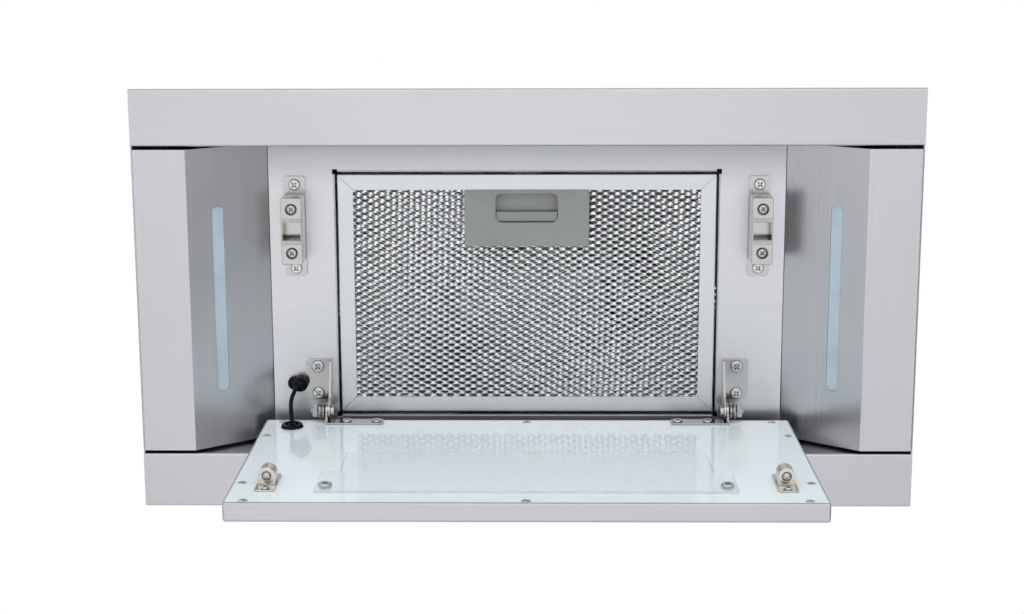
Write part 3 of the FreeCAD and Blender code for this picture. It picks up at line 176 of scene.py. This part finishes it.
def add_latch_springs():
    """Two coil springs that fill the box of the latch springs part, on the filter."""
    low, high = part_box("latch_springs")
    middle = (low + high) / 2
    outer = (high.z - low.z) / 2
    radius = outer - SPRING_WIRE / 2
    rise = (high.y - low.y - SPRING_WIRE) / (SPRING_TURNS * SPRING_STEPS)
    points, faces = [], []
    for x in (low.x + outer, high.x - outer):
        line = []
        for i in range(SPRING_TURNS * SPRING_STEPS + 1):
            turn = 2 * math.pi * i / SPRING_STEPS
            y = low.y + SPRING_WIRE / 2 + rise * i
            line.append(Vector((x + math.cos(turn) * radius, y, middle.z + math.sin(turn) * radius)))
        coil_points, coil_faces = tube_shape(line, SPRING_WIRE / 2, sides=10)
        faces += [tuple(len(points) + k for k in face) for face in coil_faces]
        points += coil_points
    springs = new_piece("latch_coils", points, faces, smooth=True)
    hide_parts("latch_springs")
    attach(springs, "filter")
    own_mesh(springs)
    return springs


# ---- materials ----
MIDDLE = (0.3, 0.7)  # where nearly all of a noise's values lie
WHITE = (1.0, 1.0, 1.0)


class Surface:
    """A node material that is being put together."""

    def __init__(self, name):
        self.material = bpy.data.materials.new(name)
        self.material.use_nodes = True
        self.tree = self.material.node_tree
        self.shader = self.tree.nodes["Principled BSDF"]
        self.coordinates = self.tree.nodes.new("ShaderNodeTexCoord").outputs["Object"]

    def link(self, output, target):
        self.tree.links.new(output, target)

    def scaled(self, scale, texture):
        """A texture node with so many cells a metre, the same along X, Y and Z or one for each."""
        mapping = self.tree.nodes.new("ShaderNodeMapping")
        mapping.inputs["Scale"].default_value = scale if isinstance(scale, tuple) else (scale,) * 3
        self.link(self.coordinates, mapping.inputs["Vector"])
        node = self.tree.nodes.new(texture)
        node.inputs["Scale"].default_value = 1.0
        self.link(mapping.outputs["Vector"], node.inputs["Vector"])
        return node

    def noise(self, scale, detail=3.0, roughness=0.55):
        """Noise at so many cells a metre."""
        node = self.scaled(scale, "ShaderNodeTexNoise")
        node.inputs["Detail"].default_value = detail
        node.inputs["Roughness"].default_value = roughness
        return node.outputs["Fac"]

    def cells(self, scale):
        """Voronoi cells at so many a metre: (distance, colour)."""
        node = self.scaled(scale, "ShaderNodeTexVoronoi")
        return node.outputs["Distance"], node.outputs["Color"]

    def ramp(self, value, first, last, source=MIDDLE):
        """A colour that goes from the first to the last as a value crosses its source range."""
        node = self.tree.nodes.new("ShaderNodeValToRGB")
        for element, position, color in zip(node.color_ramp.elements, source, (first, last)):
            element.position = position
            element.color = (*color, 1.0)
        self.link(value, node.inputs["Fac"])
        return node.outputs["Color"]

    def mottled(self, value, color, contrast):
        """A colour that a value makes darker and lighter by this contrast."""
        return self.ramp(value, tinted(color, 1 - contrast), tinted(color, 1 + contrast))

    def spread(self, value, low, high, source=MIDDLE):
        """A value brought from its source range to low..high."""
        node = self.tree.nodes.new("ShaderNodeMapRange")
        node.inputs["From Min"].default_value = source[0]
        node.inputs["From Max"].default_value = source[1]
        node.inputs["To Min"].default_value = low
        node.inputs["To Max"].default_value = high
        self.link(value, node.inputs["Value"])
        return node.outputs["Result"]

    def mixed(self, a, b, factor, kind="MIX"):
        """Two colours mixed."""
        node = self.tree.nodes.new("ShaderNodeMixRGB")
        node.blend_type = kind
        node.inputs["Fac"].default_value = factor
        self.link(a, node.inputs["Color1"])
        self.link(b, node.inputs["Color2"])
        return node.outputs["Color"]

    def times(self, a, b):
        """Two colours multiplied."""
        return self.mixed(a, b, 1.0, "MULTIPLY")

    def painted_edge_light(self, tone, mask, painted_edge_color):
        """A colour with another one painted in patches along the masked edges: lighter gives a painted
        highlight, darker a painted shade.
        """
        patchy = self.spread(self.noise(40.0), 0.45, 1.0, (0.3, 0.6))
        node = self.tree.nodes.new("ShaderNodeMixRGB")
        node.inputs["Color2"].default_value = (*painted_edge_color, 1.0)
        self.link(self.added(mask, patchy, "MULTIPLY"), node.inputs["Fac"])
        self.link(tone, node.inputs["Color1"])
        return node.outputs["Color"]

    def added(self, a, b, kind="ADD"):
        """Two values put together by a sum or another operation."""
        node = self.tree.nodes.new("ShaderNodeMath")
        node.operation = kind
        self.link(a, node.inputs[0])
        self.link(b, node.inputs[1])
        return node.outputs["Value"]

    def along_y(self, start, end, greys):
        """A tone that goes from one grey to another between two places along Y, in metres."""
        parts = self.tree.nodes.new("ShaderNodeSeparateXYZ")
        self.link(self.coordinates, parts.inputs["Vector"])
        share = self.spread(parts.outputs["Y"], 0.0, 1.0, (start, end))
        return self.ramp(share, (greys[0],) * 3, (greys[1],) * 3, (0.0, 1.0))

    def set(self, **values):
        """Values that are the same all over the surface."""
        for name, value in values.items():
            self.shader.inputs[name.replace("_", " ")].default_value = value

    def color(self, output):
        self.link(output, self.shader.inputs["Base Color"])

    def rough(self, output):
        self.link(output, self.shader.inputs["Roughness"])

    def rounding(self, radius):
        """Normal that is rounded at the edges, and a mask of where they are."""
        bevel = self.tree.nodes.new("ShaderNodeBevel")
        bevel.samples = 3
        bevel.inputs["Radius"].default_value = radius
        shape = self.tree.nodes.new("ShaderNodeNewGeometry")
        dot = self.tree.nodes.new("ShaderNodeVectorMath")
        dot.operation = "DOT_PRODUCT"
        self.link(bevel.outputs["Normal"], dot.inputs[0])
        self.link(shape.outputs["Normal"], dot.inputs[1])
        return bevel.outputs["Normal"], self.spread(dot.outputs["Value"], 0.0, 1.0, (0.995, 0.85))

    def painted_recess_shade(self, tone, reach):
        """A colour with painted shade in gaps and recesses, darker where ambient occlusion finds
        surfaces close.
        """
        shade = self.tree.nodes.new("ShaderNodeAmbientOcclusion")
        shade.samples = 4
        shade.inputs["Distance"].default_value = reach
        amount = self.spread(shade.outputs["AO"], 0.12, 1.0, (0.35, 0.8))
        grey = self.tree.nodes.new("ShaderNodeCombineColor")
        for channel in ("Red", "Green", "Blue"):
            self.link(amount, grey.inputs[channel])
        return self.times(tone, grey.outputs["Color"])

    def bump(self, height, depth, normal=None):
        """Surface relief of so many metres, over a normal."""
        node = self.tree.nodes.new("ShaderNodeBump")
        node.inputs["Distance"].default_value = depth
        self.link(height, node.inputs["Height"])
        if normal:
            self.link(normal, node.inputs["Normal"])
        self.link(node.outputs["Normal"], self.shader.inputs["Normal"])


def tinted(color, factor):
    """A colour made lighter or darker."""
    return tuple(min(1.0, c * factor) for c in color)


BRUSH_RELIEF = 0.0000008


def drawn_out(across, along, grain):
    """Cells a metre of a noise that is drawn out along the axis of the grain."""
    scale = [across] * 3
    scale["XYZ".index(grain)] = along
    return tuple(scale)


def brushed_metal(name, color, grain, roughness=0.3, lines=900.0, contrast=0.025, edge=0.0007,
                  painted_shade_y=None):
    """Sheet metal with fine brush lines along X, Y or Z, faint clouds and painted edge highlights.

    The last argument, where given, holds the start and end of a painted shade along Y, and its two
    greys.
    """
    surface = Surface(name)
    fine = surface.noise(drawn_out(lines, 6.0, grain), detail=1.0, roughness=0.6)
    coarse = surface.noise(drawn_out(lines / 5, 2.5, grain), detail=2.0)
    clouds = surface.noise(7.0, detail=2.0)
    cloud_tone = surface.ramp(clouds, (0.95, 0.95, 0.955), WHITE)
    rounded, mask = surface.rounding(edge)
    tone = surface.times(surface.mottled(fine, color, contrast), cloud_tone)
    # Painted shade that darkens the sheet between two places along Y.
    if painted_shade_y:
        tone = surface.times(tone, surface.along_y(*painted_shade_y))
    # Edges painted lighter than the metal, as painted highlights.
    surface.color(surface.painted_edge_light(tone, mask, tinted(color, 1.4)))
    both = surface.added(surface.spread(fine, -0.015, 0.015), surface.spread(coarse, -0.01, 0.01))
    base = surface.spread(clouds, roughness - 0.02, roughness + 0.03)
    surface.rough(surface.added(base, both))
    surface.bump(fine, BRUSH_RELIEF, rounded)
    surface.set(Metallic=1.0)
    return surface.material


def plain_metal(name, color, roughness, scale=260.0):
    """Plated or drawn metal with faint mottling, painted edge highlights and painted shade in its
    recesses.
    """
    surface = Surface(name)
    mottle = surface.noise(scale)
    patch = surface.noise(scale / 8, detail=2.0)
    patch_tone = surface.ramp(patch, (0.95, 0.95, 0.95), WHITE, (0.35, 0.65))
    rounded, mask = surface.rounding(0.0006)
    tone = surface.times(surface.mottled(mottle, color, 0.03), patch_tone)
    # Edges painted lighter as highlights, and painted shade darkening gaps and recesses.
    surface.color(surface.painted_recess_shade(surface.painted_edge_light(tone, mask, tinted(color, 1.8)), 0.0022))
    surface.rough(surface.spread(patch, roughness - 0.03, roughness + 0.05))
    surface.bump(mottle, 0.000004, rounded)
    surface.set(Metallic=1.0)
    return surface.material


def galvanised(name):
    """Zinc-coated steel with its crystal spangle."""
    surface = Surface(name)
    distance, cell_color = surface.cells(55.0)
    _, fine_color = surface.cells(140.0)
    blend = surface.mixed(cell_color, fine_color, 0.35)
    grey = surface.tree.nodes.new("ShaderNodeRGBToBW")
    surface.link(blend, grey.inputs["Color"])
    surface.color(
        surface.ramp(grey.outputs["Val"], (0.44, 0.46, 0.48), (0.66, 0.68, 0.70), (0.15, 0.85))
    )
    surface.rough(surface.spread(grey.outputs["Val"], 0.28, 0.5, (0.1, 0.9)))
    surface.bump(surface.added(distance, surface.noise(900.0)), 0.00002)
    surface.set(Metallic=1.0)
    return surface.material


def moulded_plastic(name, color, roughness, grain=1400.0, contrast=0.05, relief=0.00002, coat=0.0):
    """Moulded plastic with a fine spark-eroded grain and slight tone changes."""
    surface = Surface(name)
    fine = surface.noise(grain, detail=2.0, roughness=0.6)
    broad = surface.noise(24.0, detail=2.0)
    speck = surface.ramp(fine, (0.96, 0.96, 0.96), WHITE)
    surface.color(surface.times(surface.mottled(broad, color, contrast), speck))
    surface.rough(surface.spread(fine, roughness - 0.05, roughness + 0.06))
    surface.bump(fine, relief)
    surface.set(Coat_Weight=coat, Coat_Roughness=0.08)
    return surface.material


def rubber(name):
    """Black rubber with a dusty bloom."""
    surface = Surface(name)
    fine = surface.noise(2200.0)
    bloom = surface.noise(90.0, detail=4.0)
    surface.color(surface.ramp(bloom, (0.003, 0.003, 0.0035), (0.009, 0.0095, 0.010), (0.35, 0.75)))
    surface.rough(surface.spread(fine, 0.20, 0.34))
    surface.bump(fine, 0.00001)
    surface.set(Specular_IOR_Level=0.09)
    return surface.material


def glossy_liner(name):
    """Pale blue-white back-painted liner with a high gloss and faint waviness."""
    surface = Surface(name)
    broad = surface.noise(5.0, detail=2.0)
    fine = surface.noise(500.0, detail=2.0)
    surface.color(surface.ramp(broad, (0.725, 0.81, 0.855), (0.765, 0.84, 0.88)))
    surface.rough(surface.spread(fine, 0.10, 0.16))
    surface.bump(surface.noise((14.0, 14.0, 30.0), detail=1.0), 0.00006)
    surface.set(Coat_Weight=0.6, Coat_Roughness=0.04, Coat_IOR=1.5)
    return surface.material


def clear_acrylic(name):
    """Clear cover: slightly blue, polished, with painted shade along its cut edges."""
    surface = Surface(name)
    fine = surface.noise(300.0)
    tone = surface.ramp(fine, (0.90, 0.965, 0.985), (0.93, 0.985, 1.0))
    _, mask = surface.rounding(0.002)
    # Painted shade along the cut edges, for the cover's dark outline.
    surface.color(surface.painted_edge_light(tone, mask, (0.03, 0.045, 0.05)))
    surface.rough(surface.spread(fine, 0.03, 0.08))
    surface.set(Alpha=0.32, IOR=1.46)
    return surface.material


def dark_glass(name):
    """Black glass of the touch strip."""
    surface = Surface(name)
    fine = surface.noise(60.0)
    surface.color(surface.ramp(fine, (0.006, 0.006, 0.008), (0.014, 0.014, 0.017)))
    surface.rough(surface.spread(surface.noise(700.0), 0.04, 0.10))
    surface.set(Coat_Weight=1.0, Coat_Roughness=0.02)
    return surface.material


def frosted_lens(name):
    """Milky diffuser with fine ribs along Y, as the lamps run."""
    surface = Surface(name)
    ribs = surface.noise((900.0, 3.0, 900.0), detail=1.0)
    cloud = surface.noise(30.0, detail=2.0)
    surface.color(surface.ramp(cloud, (0.37, 0.465, 0.54), (0.43, 0.53, 0.60)))
    surface.rough(surface.spread(ribs, 0.32, 0.5))
    surface.bump(ribs, 0.00003)
    surface.set(Subsurface_Weight=0.15, Subsurface_Scale=0.004, Coat_Weight=0.25, Coat_Roughness=0.15)
    return surface.material


def circuit_board(name):
    """Green board with copper tracks under the lacquer."""
    surface = Surface(name)
    distance, _ = surface.cells(420.0)
    tracks = surface.tree.nodes.new("ShaderNodeTexBrick")
    tracks.inputs["Scale"].default_value = 160.0
    tracks.inputs["Color1"].default_value = (0.012, 0.12, 0.05, 1.0)
    tracks.inputs["Color2"].default_value = (0.02, 0.17, 0.07, 1.0)
    tracks.inputs["Mortar"].default_value = (0.16, 0.30, 0.08, 1.0)
    surface.link(surface.coordinates, tracks.inputs["Vector"])
    surface.color(tracks.outputs["Color"])
    surface.rough(surface.spread(distance, 0.25, 0.45, (0.0, 1.0)))
    surface.bump(tracks.outputs["Fac"], 0.00003)
    return surface.material


def mesh_aluminium(name, color):
    """Cut edges of expanded aluminium, with some grease film."""
    surface = Surface(name)
    film = surface.noise(160.0)
    surface.color(surface.ramp(film, tinted(color, 0.92), color))
    surface.rough(surface.spread(surface.noise(900.0), 0.3, 0.45))
    surface.set(Metallic=0.7)
    return surface.material


STAINLESS = (0.525, 0.534, 0.554)
STRIKER_METAL = (0.70, 0.655, 0.61)
FINISHES = {
    "front_fascia": brushed_metal("stainless_front", STAINLESS, "X", edge=0.0003),
    "rear_panel": brushed_metal("stainless_rear", STAINLESS, "X"),
    "side_panel_left": brushed_metal("stainless_left", STAINLESS, "Y"),
    "side_panel_right": brushed_metal("stainless_right", STAINLESS, "Y"),
    # The plate is painted darker towards its front edge, as the shade of the front return.
    "recess_plate": brushed_metal(
        "stainless_plate", tinted(STAINLESS, 1.11), "X", 0.34, painted_shade_y=(-0.150, -0.105, (0.60, 1.0))
    ),
    "panel_tray": brushed_metal("stainless_tray", STAINLESS, "X"),
    "striker_left": plain_metal("striker_plate_left", STRIKER_METAL, 0.2),
    "striker_right": plain_metal("striker_plate_right", STRIKER_METAL, 0.2),
}
SLOT_FINISHES = {
    "galvanised_steel": galvanised("galvanised"),
    "nickel_plate": plain_metal("nickel", (0.48, 0.468, 0.46), 0.17),
    "zinc_screw": plain_metal("screw_zinc", (0.60, 0.59, 0.58), 0.15, 500.0),
    "satin_aluminium": brushed_metal(
        "anodised_frame", (0.62, 0.645, 0.66), "X", 0.42, lines=700.0, contrast=0.03
    ),
    "bright_mesh": mesh_aluminium("mesh_aluminium", (0.95, 0.955, 0.96)),
    "grey_plastic": moulded_plastic("grey_handle", (0.25, 0.26, 0.256), 0.42),
    "spring_steel": plain_metal("spring_steel", (0.55, 0.55, 0.57), 0.25, 400.0),
    "glossy_white": glossy_liner("liner_gloss"),
    "clear_plastic": clear_acrylic("acrylic"),
    "black_glass": dark_glass("touch_glass"),
    "circuit_board": circuit_board("board"),
    "lamp_diffuser": frosted_lens("diffuser"),
    "black_rubber": rubber("black_rubber"),
    "black_plastic": moulded_plastic(
        "fan_nylon", (0.035, 0.036, 0.04), 0.5, grain=900.0, contrast=0.15, relief=0.00003
    ),
    "motor_paint": moulded_plastic(
        "motor_enamel", (0.10, 0.105, 0.115), 0.35, grain=500.0, contrast=0.1, relief=0.00004, coat=0.3
    ),
    "white_plastic": moulded_plastic("white_moulding", (0.72, 0.72, 0.70), 0.35),
}


def paint(piece, material):
    """The material on every slot of a piece."""
    if not piece.material_slots:
        piece.data.materials.append(material)
    for slot in piece.material_slots:
        slot.material = material


def paint_cad_nodes():
    """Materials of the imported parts."""
    for row in frame["record"]["subparts"]:
        name = row["node"]
        paint(nodes[name], FINISHES.get(name) or SLOT_FINISHES[row["material_slot"]])


# ---- expanded mesh of the filter ----
MESH_PITCH = (0.011694, 0.006591)  # along X and Y, from one node to the next
MESH_NODE = (-0.1495, -0.0958)  # one of the nodes of the lowest layer
MESH_SHEAR = -0.0226  # how far a column leans in X for its run in Y
MESH_OVERHANG = 0.001  # how far past the slab a node may be
MESH_LIFT = 0.0001
STRAND_WIDTH = 0.0008
STRAND_THICKNESS = 0.0005
STRAND_GAP = 0.13  # share of the way between two nodes that a strand leaves free at each end
STRAND_LEAN = 0.85  # radians, like the tilt and the spreads
LEAN_SPREAD = 0.1
KNUCKLE_REACH = 0.0026
KNUCKLE_DEPTH = 0.0029
KNUCKLE_TAPER = 0.35
KNUCKLE_TILT = 0.12
TILT_SPREAD = 0.12
HANDLE_LAP = 0.0005  # how far the mesh goes in behind the handle's edge
LOWER_LAYERS = (
    (0.12, (0.0, 0.0), 0.0, STRAND_WIDTH, 0.0001),
    (0.75, (0.0031, 0.0021), 0.02, 0.0006, 0.0010),
)
UPPER_LAYERS = (
    (0.3, (0.0052, 0.0009), -0.04, 0.0007, 0.0012),
    (0.9, (0.0017, 0.0033), 0.06, 0.0009, 0.0012),
)


def strand_points(start, end, width, thickness, lean):
    """Eight corners of a flat strand between two points, leaning about its own line."""
    along = (end - start).normalized()
    flat = Vector((-along.y, along.x, 0)).normalized()
    up = along.cross(flat)
    across = flat * math.cos(lean) + up * math.sin(lean)
    through = along.cross(across)
    corners = []
    for point in (start, end):
        for u, v in SQUARE:
            corners.append(point + across * (u * width / 2) + through * (v * thickness / 2))
    return corners


def knuckle_points(middle, tilt, share):
    """Eight corners of the flat wedge where strands meet, wider on its +Y side."""
    across = Vector((0, math.cos(tilt), math.sin(tilt)))
    through = Vector((0, -math.sin(tilt), math.cos(tilt)))
    corners = []
    for end in (-1, 1):
        for u, v in SQUARE:
            reach = KNUCKLE_REACH * share * (1.0 if u > 0 else KNUCKLE_TAPER)
            offset = across * (u * KNUCKLE_DEPTH * share / 2) + through * (v * STRAND_THICKNESS / 2)
            corners.append(middle + Vector((end * reach, 0, 0)) + offset)
    return corners


BAR_FACES = ((0, 1, 2, 3), (7, 6, 5, 4), (0, 4, 5, 1), (1, 5, 6, 2), (2, 6, 7, 3), (3, 7, 4, 0))


def expanded_layer(points, faces, painted_light_slots, area, hole, height, layer, dice):
    """Adds one layer of expanded metal over an area, left out where the hole is."""
    shift, turn, strand, looseness = layer
    low, high = area
    middle = (low + high) / 2
    spin = Matrix.Rotation(turn, 2)
    columns = int((high.x - low.x) / MESH_PITCH[0]) + 8
    rows = int((high.y - low.y) / MESH_PITCH[1] * 2) + 12
    origin = Vector((MESH_NODE[0] + shift[0], MESH_NODE[1] + shift[1]))
    first_column = int((low.x - origin.x) / MESH_PITCH[0]) - 3
    first_row = int((low.y - origin.y) / MESH_PITCH[1] * 2) - 4
    places = {}

    def place(i, j):
        if (i, j) not in places:
            y = j * MESH_PITCH[1] / 2
            x = (i + (j % 2) / 2) * MESH_PITCH[0] + MESH_SHEAR * y
            spot = spin @ (origin + Vector((x, y)) - middle.to_2d()) + middle.to_2d()
            jitter = Vector((dice.uniform(-1, 1), dice.uniform(-1, 1))) * looseness
            lift = dice.uniform(-1, 1) * MESH_LIFT
            places[(i, j)] = Vector((spot.x + jitter.x, spot.y + jitter.y, height + lift))
        return places[(i, j)]

    def within(p, start, end, margin=0.0):
        return all(start[k] - margin < p[k] < end[k] + margin for k in (0, 1))

    def kept(p):
        return within(p, low, high, MESH_OVERHANG) and not within(p, *hole)

    for j in range(first_row, first_row + rows):
        for i in range(first_column, first_column + columns):
            here = place(i, j)
            if not kept(here):
                continue
            left = (i - 1 + j % 2, j + 1)
            right = (i + j % 2, j + 1)
            for there in (place(*left), place(*right)):
                if not kept(there):
                    continue
                run = (there - here) * STRAND_GAP
                side = 1 if there.x > here.x else -1
                tilt = STRAND_LEAN * side + dice.uniform(-LEAN_SPREAD, LEAN_SPREAD)
                base = len(points)
                points += strand_points(here + run, there - run, strand, STRAND_THICKNESS, tilt)
                faces += [tuple(base + k for k in face) for face in BAR_FACES]
                painted_light_slots += [1] * len(BAR_FACES)
            base = len(points)
            tilt = KNUCKLE_TILT + dice.uniform(-TILT_SPREAD, TILT_SPREAD)
            points += knuckle_points(here, tilt, strand / STRAND_WIDTH)
            faces += [tuple(base + k for k in face) for face in BAR_FACES]
            painted_light_slots += [0] * len(BAR_FACES)


def add_mesh_pack(node, layers, finishes, dice):
    """Layers of expanded aluminium that stand for one slab of the filter.

    Each layer has its height as a share of the slab, and then its shift, turn, strand
    width and looseness. The finishes are those of the knuckles and of the strands: lit and
    shaded copies of one aluminium, for painted glints and painted shade.
    """
    low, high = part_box(node)
    handle_low, handle_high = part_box("filter_handle")
    lap = Vector((HANDLE_LAP, HANDLE_LAP, 0))
    hole = (handle_low + lap, handle_high - lap)
    points, faces, painted_light_slots = [], [], []
    for share, *layer in layers:
        height = low.z + (high.z - low.z) * share
        expanded_layer(points, faces, painted_light_slots, (low, high), hole, height, layer, dice)
    piece = new_piece(node.replace("filter_mesh", "expanded_mesh"), points, faces)
    for finish in finishes:
        piece.data.materials.append(finish)
    for face, tone in zip(piece.data.polygons, painted_light_slots):
        face.material_index = tone
    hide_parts(node)
    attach(piece, "filter")


# ---- surroundings ----
FLOOR_HEIGHT = -2.15
FLOOR_HALF_SIZE = 30.0
FLAG_FRONT = -1.2
FLAG_BACK = 2.4
FLAG_BOTTOM = FLOOR_HEIGHT + 0.01
FLAG_FADE = (0.0, 1.3)  # where along Y its tone changes


def add_world():
    """White room that is a little darker at the horizon and below it."""
    world = bpy.data.worlds.new("room")
    scene.world = world
    world.use_nodes = True
    tree = world.node_tree
    background = tree.nodes["Background"]
    coordinates = tree.nodes.new("ShaderNodeTexCoord")
    parts = tree.nodes.new("ShaderNodeSeparateXYZ")
    ramp = tree.nodes.new("ShaderNodeValToRGB")
    spread = tree.nodes.new("ShaderNodeMapRange")
    spread.inputs["From Min"].default_value = -0.35
    spread.inputs["From Max"].default_value = 0.6
    tree.links.new(coordinates.outputs["Generated"], parts.inputs["Vector"])
    tree.links.new(parts.outputs["Z"], spread.inputs["Value"])
    tree.links.new(spread.outputs["Result"], ramp.inputs["Fac"])
    ramp.color_ramp.elements[0].position = 0.25
    ramp.color_ramp.elements[0].color = (0.60, 0.61, 0.625, 1.0)
    ramp.color_ramp.elements[1].position = 0.9
    ramp.color_ramp.elements[1].color = (1.0, 1.0, 1.0, 1.0)
    tree.links.new(ramp.outputs["Color"], background.inputs["Color"])
    background.inputs["Strength"].default_value = 1.0


def add_floor():
    """Plain pale floor below the hood."""
    corners = [(u * FLOOR_HALF_SIZE, v * FLOOR_HALF_SIZE, FLOOR_HEIGHT) for u, v in SQUARE]
    floor = new_piece("floor", corners, [(0, 1, 2, 3)])
    surface = Surface("floor_paint")
    broad = surface.noise(1.5, detail=3.0)
    surface.color(surface.ramp(broad, (0.80, 0.80, 0.805), (0.83, 0.83, 0.835)))
    surface.rough(surface.spread(surface.noise(60.0), 0.65, 0.8))
    paint(floor, surface.material)


def add_flag(name, x, top, shades):
    """Upright screen beside the hood, out of the camera's sight, that the sloped sides reflect."""
    corners = [
        (x, FLAG_FRONT, FLAG_BOTTOM),
        (x, FLAG_BACK, FLAG_BOTTOM),
        (x, FLAG_BACK, top),
        (x, FLAG_FRONT, top),
    ]
    flag = new_piece(name, corners, [(0, 1, 2, 3)])
    surface = Surface(name + "_cloth")
    surface.color(surface.along_y(*FLAG_FADE, shades))
    surface.rough(surface.spread(surface.noise(30.0), 0.8, 0.95))
    paint(flag, surface.material)
    flag.visible_camera = False
    flag.visible_shadow = False
    flag.visible_diffuse = False


def add_light(name, place, target, size, power, glossy=False, diffuse=True):
    """Soft rectangular lamp aimed at a point. The camera never sees it, and steel only if glossy."""
    data = bpy.data.lights.new(name, "AREA")
    data.shape = "RECTANGLE"
    data.size, data.size_y = size
    data.energy = power
    lamp = bpy.data.objects.new(name, data)
    lamp.location = place
    lamp.rotation_euler = (Vector(target) - Vector(place)).to_track_quat("-Z", "Y").to_euler()
    lamp.visible_camera = False
    lamp.visible_glossy = glossy
    lamp.visible_diffuse = diffuse
    scene.collection.objects.link(lamp)


add_camera()
paint(add_lead(), SLOT_FINISHES["black_rubber"])
paint(add_latch_springs(), SLOT_FINISHES["spring_steel"])
paint_cad_nodes()
dice = random.Random(7)
# Lit and shaded copies of the mesh aluminium: the lower pack's knuckles keep the bright slot finish as
# painted glints, its strands are painted a little darker, and the upper pack is painted dark all over
# as shade.
strands = mesh_aluminium("mesh_strands", (0.76, 0.77, 0.78))
shaded = mesh_aluminium("mesh_shaded", (0.26, 0.265, 0.27))
add_mesh_pack("filter_mesh_lower", LOWER_LAYERS, (SLOT_FINISHES["bright_mesh"], strands), dice)
add_mesh_pack("filter_mesh_upper", UPPER_LAYERS, (shaded, shaded), dice)
add_world()
add_floor()
add_light("key", (-0.5, -1.3, 1.6), target=(0, 0, -0.2), size=(1.6, 1.2), power=40.0)
add_light("floor_glow", (0.0, 0.25, -0.9), target=(0.0, 0.3, FLOOR_HEIGHT), size=(0.9, 0.7), power=6.8)
add_light("front_fill", (0.0, -1.7, -1.0), target=(0.0, 0.1, -0.35), size=(2.2, 1.3), power=15.0)
add_light(
    "rim_strip",
    (0.0, -1.5, -1.75),
    target=(0.0, 0.12, -0.44),
    size=(2.0, 0.45),
    power=5.0,
    glossy=True,
    diffuse=False,
)
add_flag("flag_right", x=2.3, top=-0.2, shades=(0.46, 0.03))
add_flag("flag_left", x=-2.3, top=-0.55, shades=(0.84, 0.40))
scene.view_settings.view_transform = "Standard"
